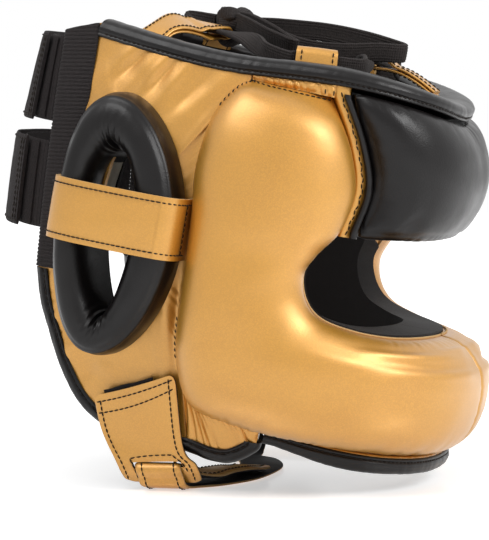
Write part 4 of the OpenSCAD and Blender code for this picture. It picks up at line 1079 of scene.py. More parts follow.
def outer_leg(grid, skip, short):
    """1 for the columns of a binding's outer leg and 0 for the rest, for a leg that starts skip
    columns in and ends short columns before the middle."""
    share = np.zeros(grid.shape[1])
    share[skip:grid.shape[1] // 2 - short] = 1
    return share


def crease(grid, size, seed, pitch=8.0):
    """Faint cross creases along a binding's outer half: gathers along its length."""
    s = run_length(grid)
    slant = s + np.arange(grid.shape[1]) * 0.5
    wave = gathers(s, pitch, seed) * 0.6 + 0.5 * gathers(slant, 2.7 * pitch, seed + 1)
    return swell(grid, size * wave * outer_leg(grid, 3, 6))


def side_edge(edge, leg_out, leg_in, end, slack=0.0, puff=0.5):
    """Binding along an edge of the side panel, given as rows of y and z with the panel on the
    left of the run. Its last sections turn to run along the direction end."""
    run = unit(np.gradient(edge, axis=0))
    inward = np.stack([-run[:, 1], run[:, 0]], -1)
    share = ease(1 - (len(edge) - 1 - np.arange(len(edge))) / 12)[:, None]
    inward = unit(mix(inward, unit(np.asarray(end, float)), share))
    inset, depth = channel(leg_out, leg_in, -LINING_T - slack, EDGE_T, puff)
    at = edge[:, None] + inset[..., None] * inward[:, None]
    return side(at[..., 0], at[..., 1], depth), inward


def make_bindings(black, thread):
    """Crown binding round the rim, jaw bindings along the lower edge and chin binding under the
    face bar, each an edge channel carried along, with one stitch line."""
    th = stations(CROWN_END, -180 - CROWN_END, 461)
    inset, depth = channel(BINDING_LEG_CROWN, BIND_LEG_IN, -LINING_T, rim_t(th))
    s = run_length(shell(th, rim_z(th), rim_t(th)))
    wave = 0.6 * (0.5 * ripple(s, 0, 37, 8) + 0.25 * ripple(s, 0, 13, 9))
    grid = crease(shell(th, rim_z(th) - inset + wave * (inset > BINDING_LEG_CROWN - 4), depth), 0.35, 51)
    piece("crown_binding", grid, black, "black_leather", fan=True)
    th, wave = th[3:-3, 0], wave[3:-3, 0]
    z = rim_z(th) - BINDING_LEG_CROWN + SEW_IN + wave
    rows = [sewn(lambda d: shell(th, z, d), rim_t(th) + BINDING_D)]
    edge = lower_edge(np.linspace(0.34, 11.97, 330))
    grid, inward = side_edge(edge, BINDING_LEG_JAW, BIND_LEG_IN, [-1, 0])
    y, z = (edge + (BINDING_LEG_JAW - SEW_IN) * inward).T
    rows.append(sewn(lambda d: side(y, z, d), EDGE_T + BINDING_D, 0, True))
    pair("jaw_binding", crease(grid, 0.3, 61), black, "black_leather", fan=True)
    th, z, u = chin_run(141)
    low, d = flange_low(u), flange_d(u)
    leg = np.minimum(8, z - low - 1.5)
    inset, depth = channel(leg, leg, d - FLANGE_T / 2, d + FLANGE_T / 2, 0.4)
    piece("chin_binding", crease(shell(th, low + inset, depth), 0.3, 71), black, "black_leather", fan=True)
    th, z, top = th[:, 0], (low + leg - SEW_IN)[:, 0], (d + FLANGE_T / 2 + BINDING_D)[:, 0]
    rows.append(sewn(lambda d: shell(th, z, d), top))
    stitch_rows("binding_stitches", rows, thread, slot="black_leather")


def make_rear_tapes(tape):
    """Elastic tape round the rear edge, ribbed across its width every RIB millimetres."""
    edge = np.linspace(REAR[-1], REAR_TOP, 721)
    top = np.array([depth_y(CROWN_END, rim_z(CROWN_END)), rim_z(CROWN_END)]) - REAR_TOP
    grid = side_edge(edge, TAPE_W, BIND_LEG_IN, top, 0.5, 0.1)[0]
    s = run_length(grid)
    slant = s + np.linspace(0, 14, grid.shape[1]) + 0.25 * ripple(s, 0, 30, 2)
    ribs = 0.5 * np.abs(np.sin(np.pi * slant / RIB)) + 0.15 * ripple(s, 0, 24, 7)
    pair("rear_tape", swell(grid, ribs * outer_leg(grid, 1, 10)), tape, "elastic_tape", fan=True)


# Rear closures
# Each size is the lower and the upper edge, then how far back the strap reaches at each
UPPER = [57, 107, 129, 124]
LOWER = [-3, 48, 130, 132]
# Offsets of the loop face, the hook face and the flap strap over the base strap's inner face
LOOP_O = STRAP_T + 0.2
HOOK_O = LOOP_O + LOOP_T + 0.4
FLAP_O = HOOK_O + LOOP_T + 0.2


def closure_pt(t, z, o, back):
    """Point of a strap layer o outside the strap line, which runs round the back of the head
    from the right tape at t = 0 to the left one at t = 1 as a half superellipse."""
    t, z, o, back = np.broadcast_arrays(*(np.asarray(v, float) for v in (t, z, o, back)))
    e = side(back_y(z) + 2 * GAP + BIND_T, z, EDGE_T - 5 + o)
    c, s = cos_sin(180 * t)
    return np.stack([e[..., 0] * pw(c, 0.83), e[..., 1] + (back + o - e[..., 1]) * pw(s, 0.83), z], -1)


def closure_layer(size, t0, t1, o0, o1, trim, relief=None):
    """Strap layer between two offsets, with rounded edges, sagging a little between the tapes."""
    t = stations(t0, t1, int((t1 - t0) * 260) + 1)
    a = strap_shares(16)[None]
    q = 0.5 + a / 2
    z = mix(size[0] + trim, size[1] - trim, q)
    back = mix(size[2], size[3], q)
    hang = (0.9 * ripple(t * 300, z, 46, int(size[0]) + 80) - 0.3) * np.sin(np.pi * t) ** 2
    h = strap_half(a, o1 - o0) * np.ones_like(t)
    mid = (o0 + o1) / 2 + hang
    extra = 0 if relief is None else relief(a, run_length(closure_pt(t, z, mid, back)))
    outer = closure_pt(t, z, mid + h + extra, back)
    return there_and_back(outer, closure_pt(t, z, mid - h, back)), t, z, mid + h, back


def webbing(a, s):
    """Fine ribs along a woven strap and a finer weave across it."""
    return 0.16 * np.abs(np.sin(np.pi * a * 9)) + 0.1 * np.sin(s * 3.1)


def make_closures(tape, hook, thread):
    """Two closures, each a base strap with a loop face under a flap with a hook face. The flap
    is sewn along both edges and across both ends."""
    seams = {}
    for level, size in (("upper", UPPER), ("lower", LOWER)):
        flap = f"{level}_flap"
        # The numbers are the layer's start and end round the head, its two offsets and its trim
        for part, body, slot, material, args in (
            ("base_strap", "root", "black_leather", tape, (0, 0.8, 0, STRAP_T, 1, webbing)),
            ("loop_face", "root", "hook_and_loop", hook, (0.05, 0.8, LOOP_O, LOOP_O + LOOP_T, 2)),
            ("hook_face", flap, "hook_and_loop", hook, (0.15, 0.6, HOOK_O, HOOK_O + LOOP_T, 2)),
            ("flap_strap", flap, "black_leather", tape, (0.1, 1, FLAP_O, FLAP_O + STRAP_T, 0, webbing)),
        ):
            grid, t, z, top, back = closure_layer(size, *args)
            piece(f"{level}_{part}", grid, material, slot, body=body)
        # The layer made last is the flap strap, which carries the stitches
        rows = []
        for k in (2, -3):
            rows.append(sewn(lambda d: closure_pt(t[:, 0], z[0, k], d, back[0, k]), top[:, k], 0.1))
        up = np.linspace(size[0] + 3, size[1] - 3, 20)
        far = mix(size[2], size[3], (up - size[0]) / (size[1] - size[0]))
        for k in (4, 9, -8, -3):
            rows.append(sewn(lambda d: closure_pt(t[k, 0], up, d, far), FLAP_O + STRAP_T, 0.1))
        seams[flap] = rows
    for flap, rows in seams.items():
        stitch_rows(f"{flap}_stitches", rows, thread, body=flap, slot="black_leather")


# Crown loops
# Length and height of the eye that takes the lace, height of the front tongue's root over the
# rim, and depth of the inner face of the rim binding
EYE = LACE_W + 3
EYE_ROOM = LACE_T + 1.6
LOOP_SEAT = 2 * GAP + BIND_T + 0.6
INSIDE_D = -LINING_T - GAP - BIND_T
# Each size is the length of the tongue, its rise and the height of its arch
FRONT_LOOP = [50, 10, 1]
REAR_LOOP = [56, 7, 6]
# Plan angle of the rear tongue's root, and its turn in plan
REAR_TH, REAR_TURN = 35, -26
FRONT_ROOT = shell(-90, RIM_FRONT_Z + LOOP_SEAT, RIM_FRONT_T / 2 - 4)
REAR_ROOT = shell(REAR_TH, rim_z(REAR_TH) - 3, INSIDE_D - 3 * GAP)


def tongue_path(size):
    """Middle line of a tongue folded over the lace, as reach and height: out along the lower
    layer, round the tip and back above it. The layers part round the eye of the lace."""
    far, rise, arch = size
    flat = far - EYE - 2

    def lift(s):
        f = np.clip(s / flat, 0, 1)
        return rise * np.sin(np.pi / 2 * f) + arch * np.sin(np.pi * f)

    def part(s):
        return mix(GAP, EYE_ROOM, ease((s - flat + 10) / 10))

    s = np.linspace(0, far - 3, 60)
    low = np.stack([s, lift(s) + TONGUE_T / 2], -1)
    high = np.stack([s, lift(s) + 1.5 * TONGUE_T + part(s)], -1)[::-1]
    gap_mid, half = (low[-1, 1] + high[0, 1]) / 2, (high[0, 1] - low[-1, 1]) / 2
    a = np.radians(np.linspace(-80, 80, 17))
    tip = np.stack([far - 3 + 3.4 * np.cos(a) ** 0.8, gap_mid + half * np.sin(a)], -1)
    return np.vstack([low, tip, high])


def tongue(size, skew, root, turn, lean=0.0):
    """Edge lines of a tongue from its root, at a turn in plan. The root is cut at a skew, and
    the middle leans over by lean, the height of an edge over its half width."""
    path = tongue_path(size)
    s, h = path[:, 0], path[:, 1]
    half = TONGUE_W / 2 * (1 - 0.1 * bell(s - 4, 9))
    c, d = cos_sin(turn)
    lines = []
    for way in (-1, 1):
        x = s + way * half * skew * bell(s, 7)
        y = way * half
        tilt = lean * (way - 0.35) * half * bell(s - 0.45 * size[0], 0.3 * size[0])
        lines.append(root + np.stack([x * c - y * d, x * d + y * c, h + tilt], -1))
    return lines


def turned_out(grid):
    """Grid of a strap with its two faces exchanged."""
    count = grid.shape[1] // 2
    return np.concatenate([grid[:, count:][:, ::-1], grid[:, :count][:, ::-1]], 1)


def frame_rows(grid, share, both=False):
    """Stitch rows along both edges of a strap's outer face, which is the first half of the
    grid's columns, at a share of the half width from its middle."""
    count = grid.shape[1] // 2
    face, inside = grid[:, :count], grid[:, count:][:, ::-1]
    normal = unit(np.cross(np.gradient(face, axis=0), np.gradient(face, axis=1)))
    normal = normal * np.sign(np.sum(normal * (face - inside), -1, keepdims=True))
    columns = [int(np.argmin(np.abs(strap_shares(count) - way))) for way in (-share, share)]
    return [(face[:, k] + 0.05 * normal[:, k], normal[:, k], both) for k in columns]


def make_crown_loops(gold, edge, thread):
    """Front tongue, two rear tongues and two side tabs, sewn along their edges."""
    low, high = tongue(FRONT_LOOP, 0, FRONT_ROOT, 90)
    grid = strap(high, low, TONGUE_T)
    piece("front_crown_loop", grid, (gold, edge), "gold_leather", cap=1)
    rows = frame_rows(turned_out(grid), 0.8)
    low, high = tongue(REAR_LOOP, -0.34, REAR_ROOT, REAR_TURN, 0.4)
    rear = strap(high, low, TONGUE_T)
    rows += frame_rows(turned_out(rear), 0.8, True)
    th = stations(-29, -45, 41)
    section = np.concatenate([tab_line(0), tab_line(TONGUE_T)[::-1]])
    tab = shell(th, rim_z(th) + section[:, 1], section[:, 0])
    pick = np.repeat([0, 1], len(section) // 2)
    for side_name, turn in SIDES:
        piece(f"rear_crown_loop_{side_name}", turn(rear), (gold, edge), "gold_leather", cap=1)
        piece(f"side_crown_loop_{side_name}", turn(tab), (gold, edge), "gold_leather", pick=pick, cap=1)
    tab_seams = (-31.2, -43.2)
    for th0 in tab_seams:
        z = np.linspace(-4, TAB_H - 1.5, 12) + rim_z(th0)
        rows.append(sewn(lambda d: shell(th0, z, d), section[0, 0], 0.05, True))
    stitch_rows("crown_loop_stitches", rows, thread)


# Height of the side tabs over the rim, half the room inside them and the depth of their middle
TAB_H = 10.5
TAB_ROOM = LACE_T / 2 + 1.3
SIDE_LOOP_D = INSIDE_D - GAP - TONGUE_T - TAB_ROOM


def tab_line(inside):
    """Line of a side tab's fold, inside its outer face, as depth and height over the rim: up the
    outer wall, over a round top and down the inner wall."""
    c, s = cos_sin(np.linspace(0, 180, 21))
    shoulder = TAB_H - 4
    half = TAB_ROOM + TONGUE_T - inside
    up = np.stack([np.full(8, half), np.linspace(-BIND_LEG_IN, shoulder, 9)[:-1]], -1)
    arc = np.stack([half * c, shoulder + (TAB_H - inside - shoulder) * s], -1)
    return np.vstack([up, arc, up[::-1] * [-1, 1]]) + [SIDE_LOOP_D, 0]


# Lace

def in_tab(th):
    """Place of the lace inside a side tab at plan angle th, and the direction of its width."""
    return [shell(th, rim_z(th) + TAB_H - TONGUE_T - 0.8 - LACE_W / 2, SIDE_LOOP_D), [0, 0, 1]]


def eye_pt(root, turn, size):
    """Middle of the eye at the tip of a tongue."""
    c, d = cos_sin(turn)
    s = size[0] - EYE / 2 - 1
    return root + np.array([s * c, s * d, size[1] + TONGUE_T + EYE_ROOM / 2])


def in_rear(w):
    """The same w along the eye of the rear tongue."""
    c, d = cos_sin(REAR_TURN)
    return [eye_pt(REAR_ROOT, REAR_TURN, REAR_LOOP) + w * np.array([-d, c, 0]), [c, d, 0]]


def in_front(x):
    """The same x along the eye of the front tongue."""
    return [eye_pt(FRONT_ROOT, 90, FRONT_LOOP) + np.array([x, 0, 0]), [0, 1, 0]]


# Places of the lace and directions of its width, from the knot to the front tongue
LACE_RIGHT = [
    [[-3, 40.4, 126.5], [0, 0, 1]], [[-3.2, 47, 126.5], [0.1, 0, 1]], [[-5.5, 54, 126.5], [0.3, 0.1, 1]],
    [[-10.5, 56, 126.3], [0.6, 0, 0.7]], in_rear(11), in_rear(-10), [[-34, 12, 122], [0.7, -0.5, 0.5]],
    [[-46, 1, 119.5], [0.3, -0.3, 0.9]], [[-56, -8, 116.5], [0, 0, 1]], in_tab(-25), in_tab(-29), in_tab(-45),
    [[-46, -60, 116.5], [0, 0, 1]], [[-36, -60, 119], [0, 0.4, 1]], [[-25, -57, 120.2], [0, 0.9, 0.4]],
    in_front(-13), in_front(-5),
]
LONG_BOW = [
    [[-3, 20, 129], [0, 0, 1]], [[-9, 6, 126], [0, 0.1, 1]], [[-14, -16, 122], [0, 0.1, 1]],
    [[-17, -40, 122.5], [0, 0.1, 1]], [[-18, -62, 126.5], [0, 0, 1]], [[-17.5, -71, 127.5], [0, 0, 1]],
    [[-13.5, -75.5, 128.5], [0, 0, 1]], [[-9.8, -70, 129.5], [0, 0, 1]], [[-10.5, -50, 131.5], [0, 0, 1]],
    [[-9, -26, 132.5], [0, 0.1, 1]], [[-3, 0, 130.5], [0, 0.1, 1]], [[2.5, 20, 128.5], [0, 0, 1]],
]
SHORT_BOW = [
    [[-8.2, 25, 131], [-0.2, 0, 1]], [[-15, 15, 130.5], [-0.3, 0, 1]], [[-22, 0, 127], [-0.4, 0, 1]],
    [[-28, -13, 122.5], [-0.4, 0, 1]], [[-32.5, -18.5, 121], [-0.4, 0, 1]],
    [[-35.5, -13.5, 121.5], [-0.4, 0, 1]],
    [[-30, 1, 124.5], [-0.4, 0, 1]], [[-21.5, 14, 128], [-0.3, 0, 1]], [[-13, 24.5, 130], [-0.2, 0, 1]],
]
LACE_RIBS = 7


def lace_ribs(a, s):
    """Ribs along a flat lace, with a finer braid along each."""
    return 0.28 * np.abs(np.cos(np.pi * a * LACE_RIBS / 2)) + 0.05 * np.sin(s * 4 + a * 30) - 0.2


def lace_grid(route, step):
    """Ribbed flat lace along a route of places and directions of its width."""
    places, widths = (np.array(rows, float) for rows in zip(*route))
    count = (len(route) - 1) * step
    mid, wide = along(places, count), unit(along(unit(widths), count))
    s = run_length(mid)
    wobble = 0.5 * ripple(s, 0, 23, len(route))[:, None] * np.cross(unit(np.gradient(mid, axis=0)), wide)
    half = 0.93 * LACE_W / 2 * (1 + 0.04 * np.sin(s / 9))[:, None]
    mid = mid + wobble * 0.6
    return strap(mid + half * wide, mid - half * wide, LACE_T, 42, lace_ribs,
                 lambda a, s: 0.3 * (1 - a ** 2) * np.ones_like(s))


def make_laces(lace):
    """Crown lace from the knot round both sides to the front tongue, and the two bow loops."""
    left = [[flip(np.array(place)), flip(np.array(wide))] for place, wide in LACE_RIGHT[::-1]]
    for name, route, step in (
        ("crown_lace", LACE_RIGHT + left, 11),
        ("lace_bow_long", LONG_BOW, 16),
        ("lace_bow_short", SHORT_BOW, 14),
    ):
        piece(name, lace_grid(route, step), lace, "lace")


KNOT_CENTRE = np.array([0, 30, 128.0])
# Strands of the knot: tilt and turn of the loop, its two half sizes, and its shift
KNOT_STRANDS = [
    [80, 12, 8, 10.2, (-2, -4.5, 0.5)], [97, -14, 8, 10.8, (-2, 3.5, -0.5)], [30, 62, 7, 9.5, (-4, 0, 1.5)],
    [120, 40, 6.5, 9.6, (-4, -1, -3)],
]


def make_knot(lace):
    """Knot of lace strands: each is a closed ribbed band round a tilted ellipse, over a core."""
    a, j = np.radians(stations(-75, 75, 13)), turns(20)
    core = KNOT_CENTRE + np.stack(np.broadcast_arrays(
        5.5 * np.cos(a) * np.cos(j), 8.5 * np.sin(a), 9 * np.cos(a) * np.sin(j)), -1)
    piece("lace_knot", core, lace, "lace", fan=True)
    t = turns(72).T
    j = turns(40)
    wide, thick = 4.3 * pw(np.cos(j), 0.8), 1.9 * pw(np.sin(j), 0.8)
    rib = 0.3 * np.abs(np.cos(wide * 1.9)) * np.sign(np.sin(j))
    for k, (tilt, turn, a, b, shift) in enumerate(KNOT_STRANDS):
        c, s = cos_sin(tilt)
        e, f = cos_sin(turn)
        axis = np.array([f * s, e * s, c])
        p1 = unit(np.cross(axis, [1.0, 0.2, 0.1]))
        loop = a * np.cos(t) * p1 + b * np.sin(t) * np.cross(axis, p1)
        out = unit(loop)
        twist = unit(axis + 0.25 * out * np.sin(2 * t))
        ring = (KNOT_CENTRE + shift + loop)[:, None] + wide[..., None] * twist[:, None]
        ring = ring + (thick + rib)[..., None] * out[:, None]
        piece(f"knot_strand_{k + 1}", ring, lace, "lace", extra=True, loop=True)


# Chin closure, shaped in the standing frame

def to_floor(p):
    """Points of the head frame in the standing frame, before its shift along Y."""
    return stand(p) - np.array([0, STAND_Y, 0])


# Height of the tab's lower end over the floor
CHIN_TAB_LOW = CHIN_STRAP_T + 1.6
# Place of the tab's slot down and across it, its height and the tab's length in millimetres,
# and the slopes of the slot and of the tab's sewn end
SLOT_W = 0.68
SLOT_C = [0.19, 0.83]
SLOT_H = 4.6
SLOT_SLOPE = 0.08
TAB_LONG = 90
TOP_SLOPE = 0.06
# Outline of the tab as rows of its place across and down
TAB_EDGE = [
    [0, 0], [0.33, 0], [0.67, 0], [1, 0], [1, 0.2], [1, 0.4], [1, 0.6], [1, 0.8], [0.99, 0.95],
    [0.9, 1], [0.67, 1], [0.33, 1], [0.12, 1], [0.02, 0.95], [0, 0.8], [0, 0.6], [0, 0.4], [0, 0.2],
]


def tab_pt(c, w):
    """Inner face of the chin tab, at c across from its rear to its front edge and w down from
    its sewn end. It is a smooth curve down through four lines across."""
    c, w = np.broadcast_arrays(np.asarray(c, float), np.asarray(w, float))
    low_d = EDGE_T + BIND_T + 2 * GAP + 0.3
    top = to_floor(side(mix(48, 3, c), JAW_Z + mix(24, 42, c), PANEL_T + GAP))
    edge = to_floor(side(mix(41, -6, c), JAW_Z + 2 + 0 * c, low_d))
    mid = np.stack([mix(-84, -81, c), mix(50, 5, c), 15 + 0 * c], -1)
    low = np.stack([mix(-79, -73, c), mix(47, 3, c), CHIN_TAB_LOW + 0 * c], -1)
    ends = np.stack([2 * top - edge, top, edge, mid, low, 2 * low - mid])
    t = np.clip(3 * w, -0.3, 3)
    i = np.clip(np.floor(t).astype(int), 0, 2)
    near = [np.take_along_axis(ends, (i + k)[None, ..., None], 0)[0] for k in range(4)]
    return four_point(*near, (t - i)[..., None])


def tab_outline(each=12):
    """The tab's outline as rows of c and w, each of its sides cut up, with its corners eased."""
    rows = np.array(TAB_EDGE + TAB_EDGE[:1], float)
    f = np.linspace(0, 1, each, endpoint=False)[None, :, None]
    fine = (rows[:-1, None] + (rows[1:] - rows[:-1])[:, None] * f).reshape(-1, 2)
    tail = np.vstack([fine[-3:], fine, fine[:3]])
    return np.stack([np.convolve(tail[:, k], np.ones(7) / 7, "valid") for k in range(2)], -1)


def make_chin_tab(gold, edge, backing, thread):
    """Slotted tab: rings round its slot run out on the gold face, over the raw edge and back on
    the black backing."""
    outer_cw = tab_outline()
    c, w = outer_cw[:, 0], outer_cw[:, 1]
    slot_w = SLOT_W - SLOT_SLOPE * np.clip(c - 0.5, -0.36, 0.36)
    slot_w = slot_w + SLOT_H / TAB_LONG * np.clip(6 * (w - SLOT_W), -1, 1)
    slot_cw = np.stack([np.clip(c, *SLOT_C), slot_w], -1)
    outer_cw = np.stack([c, w + TOP_SLOPE * (1 - c) * (1 - ease(w / 0.5))], -1)
    f = across(26)
    at = slot_cw[:, None] + (outer_cw - slot_cw)[:, None] * f[..., None]
    c, w = at[..., 0], at[..., 1]
    inner = tab_pt(c, w)
    shift = np.array([-1.0, 0, 0])

    def layer(depth):
        return inner + shift * (depth + 0 * c)[..., None]

    bulge = 0.9 * np.sin(np.pi * np.clip(c, 0, 1)) * ripple(c * 45, w * 90, 30, 4)
    edge_fall = bell((1 - f) * 26, 1.2)
    deep = CHIN_TAB_T + np.maximum(0, 0.25 * bulge) - 0.35 * edge_fall - 0.35 * bell(f * 26, 1.2)
    middle = CHIN_TAB_T * 0.5
    steps = (CHIN_TAB_T - 0.5, middle + 0.1, middle - 0.1)
    wall = [layer(d)[:, -1:] for d in steps]
    hole = [layer(d)[:, :1] for d in steps[::-1]]
    grid = np.concatenate([layer(deep), *wall, layer(0.2 * edge_fall)[:, ::-1], *hole], 1)
    pick = np.repeat([0, 1, 2, 1], [25, 2, 30, 1])
    piece("chin_tab", grid, (gold, edge, backing), "gold_leather", loop=True, pick=pick, posed=False)
    rows = []
    t = np.linspace(0, 1, 40)
    # The seam over the slot slopes from its rear to its front end
    rear, front = 0.6, 0.46
    # Start and end of each seam across the tab, then down it
    for c0, c1, w0, w1 in (
        (0.02, 0.97, 0.113, 0.026), (0.02, 0.97, 0.2, 0.065), (0.07, 0.07, 0.1, 0.95),
        (0.92, 0.92, 0.02, 0.95), (0.2, 0.82, rear, front), (0.2, 0.2, rear, 0.92), (0.82, 0.87, front, 0.78),
    ):
        line = tab_pt(mix(c0, c1, t), mix(w0, w1, t)) + shift * (CHIN_TAB_T + 0.15)
        rows.append((line, np.broadcast_to([-1.0, 0, -0.15], line.shape), False))
    stitch_rows("chin_tab_stitches", rows, thread, posed=False)
    c = stations(0.12, 0.72, 40)
    w = TOP_SLOPE * (1 - c) + np.linspace(0.03, -0.025, 8)[None] * (1 + 0.5 * ripple(c * 45, 0, 14, 3))
    strip = there_and_back(tab_pt(c, w) + shift * 0.9, tab_pt(c, w) + shift * 0.1)
    piece("chin_tab_backing", strip, backing, "black_leather", extra=True, posed=False)


def strap_edge(c, y_end, y_mid):
    """Route of one edge of the chin strap, from its sewn end on the left panel along the floor
    and up outside the lower bar of the tab into the slot."""
    half = CHIN_STRAP_T / 2
    out = CHIN_TAB_T + GAP + half
    root = to_floor(side(mix(34, 6, c), JAW_Z + 22, PANEL_T + GAP + half))
    edge = to_floor(side(mix(30, 0, c), JAW_Z + 2, EDGE_T + BIND_T + 3 * GAP + half))
    bar, turn, slot = (tab_pt(c, w) for w in (0.88, 0.76, SLOT_W))
    return [
        [-root[0], root[1], root[2]], [-edge[0], edge[1], edge[2]], [80, y_end + 2, 12], [74, y_end + 1, 3.6],
        [67, y_end, half + 0.3], [56, mix(y_end, y_mid, 0.5), half], [30, mix(y_end, y_mid, 0.9), half],
        [0, y_mid, half], [-30, mix(y_end, y_mid, 0.9), half], [-56, mix(y_end, y_mid, 0.5), half],
        [-70, y_end - 1, half], [bar[0] - 2.5, mix(y_end, bar[1], 0.6), half + 1.6],
        [bar[0] - out - 0.6, bar[1], bar[2]], [turn[0] - out - 0.2, turn[1], turn[2]],
        [slot[0] - CHIN_TAB_T / 2, slot[1], slot[2]], [slot[0] + 3.5, slot[1], slot[2] - 0.6],
    ]


def tail_edge(c, y_end, y_mid):
    """Route of one edge of the free tail, from the slot down onto the strap."""
    lie = 1.5 * CHIN_STRAP_T + 0.8
    slot = tab_pt(c, SLOT_W)
    return [
        [slot[0] + 5.5, slot[1], slot[2] - 1.4], [slot[0] + 10, slot[1] - 1, slot[2] - 5],
        [-60, mix(y_end, y_mid, 0.4), lie + 1.5], [-46, mix(y_end, y_mid, 0.68), lie + 2.6],
        [-30, mix(y_end, y_mid, 0.9), lie + 2.2], [-14, y_mid, lie + 0.4], [-4, y_mid, lie],
    ]


# Each edge is its place across the tab, its depth at the sides and its depth in the middle
STRAP_EDGES = (0.8, 9, -17), (0.22, 36, 10)
TAIL_EDGES = (0.8, 9, -16), (0.22, 36, 9)


def make_chin_straps(gold, backing, edge, thread):
    """Strap and folded tail, gold on the outside and black inside, stitched along both edges.
    A point of the grid, an axis and the sign of that axis outside tell which face looks out."""
    n = 16
    pick = np.repeat([2, 0, 2, 1, 2], [1, n - 2, 2, n - 2, 1])
    for name, body, route, edges, count, check in (
        ("chin_strap", "root", strap_edge, STRAP_EDGES, 300, (230, 0, -1)),
        ("chin_strap_tail", "chin_tail", tail_edge, TAIL_EDGES, 150, (100, 2, 1)),
    ):
        front, back = (along(route(*row), count) for row in edges)
        for line in (front, back):
            line[:, 2] = np.maximum(line[:, 2], CHIN_STRAP_T / 2)
        grid = strap(front, back, CHIN_STRAP_T, n)
        row, axis, way = check
        gold_out = way * (grid[row, n // 2, axis] - grid[row, n + n // 2, axis]) > 0
        materials = (gold, backing, edge) if gold_out else (backing, gold, edge)
        piece(name, grid, materials, "gold_leather", body=body, pick=pick, posed=False, cap=2)
        face = grid if gold_out else turned_out(grid)
        stitches = "chin_strap_stitches" if body == "root" else "chin_tail_stitches"
        stitch_rows(stitches, frame_rows(face, 0.72), thread, body=body, posed=False)


# Finishes

def srgb(red, green, blue):
    """Linear colour of an sRGB colour given in steps of 255."""
    c = np.array([red, green, blue]) / 255
    return tuple(float(v) for v in np.where(c <= 0.04045, c / 12.92, ((c + 0.055) / 1.055) ** 2.4))


def colour(name, description, *steps):
    """Colour property whose default is an sRGB colour in steps of 255."""
    return bpy.props.FloatVectorProperty(
        name=name, description=description, subtype="COLOR", size=3, min=0, max=1, default=srgb(*steps))


class HeadguardLooks(bpy.types.PropertyGroup):
    gold: colour("Gold leather", "Colour of the metallic gold covers", 207, 149, 50)
    # Darker gold, mixed in as random tone and as painted shade along sewn seams.
    gold_deep: colour("Gold of painted seam shade", "Deeper gold of folds and seams", 180, 119, 36)
    black: colour("Black leather", "Colour of the pads, rings and bindings", 16, 13, 13)
    lining: colour("Lining", "Colour of the inner lining", 18, 13, 11)
    tape: colour("Elastic tape", "Colour of the rear tapes and straps", 34, 30, 30)
    lace: colour("Lace", "Colour of the flat crown lace", 36, 32, 31)
    thread: colour("Thread", "Colour of the sewing thread", 24, 17, 12)
    raw_edge: colour("Cut edge", "Colour of the leather where it is cut", 214, 178, 126)
    foam: colour("Foam", "Colour of the foam cores", 201, 197, 184)
    gold_roughness: bpy.props.FloatProperty(
        name="Gold roughness", description="Roughness of the gold covers", min=0, max=1,
        default=0.41, subtype="FACTOR")
    black_roughness: bpy.props.FloatProperty(
        name="Black roughness", description="Roughness of the black leather", min=0, max=1,
        default=0.34, subtype="FACTOR")
    grain: bpy.props.FloatProperty(
        name="Leather grain", description="Width of one cell of the leather's grain", min=0.0002, max=0.003,
        default=0.0008, unit="LENGTH", precision=5)
    thread_d: bpy.props.FloatProperty(
        name="Thread", description="Diameter of the sewing thread", min=0.0003, max=0.002,
        default=0.0008, unit="LENGTH", precision=5)
    stitch_pitch: bpy.props.FloatProperty(
        name="Stitch pitch", description="Distance from one stitch to the next", min=0.001, max=0.008,
        default=0.003, unit="LENGTH", precision=5)
    stitch_share: bpy.props.FloatProperty(
        name="Stitch length", description="Share of the pitch that a stitch takes up", min=0.3, max=1,
        default=1.0, subtype="FACTOR")
    key_power: bpy.props.FloatProperty(
        name="Key light", description="Power of the large light above the left of the view", min=0, max=200,
        default=13, unit="POWER")
    front_power: bpy.props.FloatProperty(
        name="Front light", description="Power of the light to the front", min=0, max=200,
        default=14, unit="POWER")
    ambient: bpy.props.FloatProperty(
        name="Room light", description="Strength of the light that comes from all round", min=0, max=2,
        default=0.13)
    view_turn: bpy.props.FloatProperty(
        name="View turn", description="How far in front of the right side the camera stands",
        default=float(np.radians(16)), subtype="ANGLE")
    view_rise: bpy.props.FloatProperty(
        name="View rise", description="Height of the camera as an angle", default=float(np.radians(3)),
        subtype="ANGLE")
    view_distance: bpy.props.FloatProperty(
        name="View distance", description="Distance of the camera from the guard", min=0.5, max=6,
        default=1.5, unit="LENGTH")


def blank(name):
    """New node material and its tree and shader."""
    mat = bpy.data.materials.new(name)
    mat.use_nodes = True
    return mat, mat.node_tree, mat.node_tree.nodes["Principled BSDF"]


def add(tree, kind, **inputs):
    """New node with its inputs set or linked. Names use _ for a space, and settings that are
    not sockets go on the node itself."""
    made = tree.nodes.new(kind)
    for key, value in inputs.items():
        socket = made.inputs.get(key.replace("_", " "))
        if socket is None or isinstance(value, str):
            setattr(made, key.lower(), value)
        elif isinstance(value, bpy.types.NodeSocket):
            tree.links.new(value, socket)
        else:
            socket.default_value = value
    return made


def noise(tree, vector, scale, detail=3.0, roughness=0.55):
    made = add(tree, "ShaderNodeTexNoise", Vector=vector, Scale=scale, Detail=detail, Roughness=roughness)
    return made.outputs[0]


def span(tree, value, low, high, out_low, out_high):
    """The value spread from low..high to out_low..out_high."""
    made = add(tree, "ShaderNodeMapRange", Value=value)
    for socket, number in zip(made.inputs[1:5], (low, high, out_low, out_high)):
        socket.default_value = number
    return made.outputs[0]


def blend_colour(tree, factor, a, b):
    made = tree.nodes.new("ShaderNodeMix")
    made.data_type = "RGBA"
    for socket, value in zip((made.inputs[0], made.inputs[6], made.inputs[7]), (factor, a, b)):
        if isinstance(value, bpy.types.NodeSocket):
            tree.links.new(value, socket)
        else:
            socket.default_value = (*value, 1)
    return made.outputs[2]


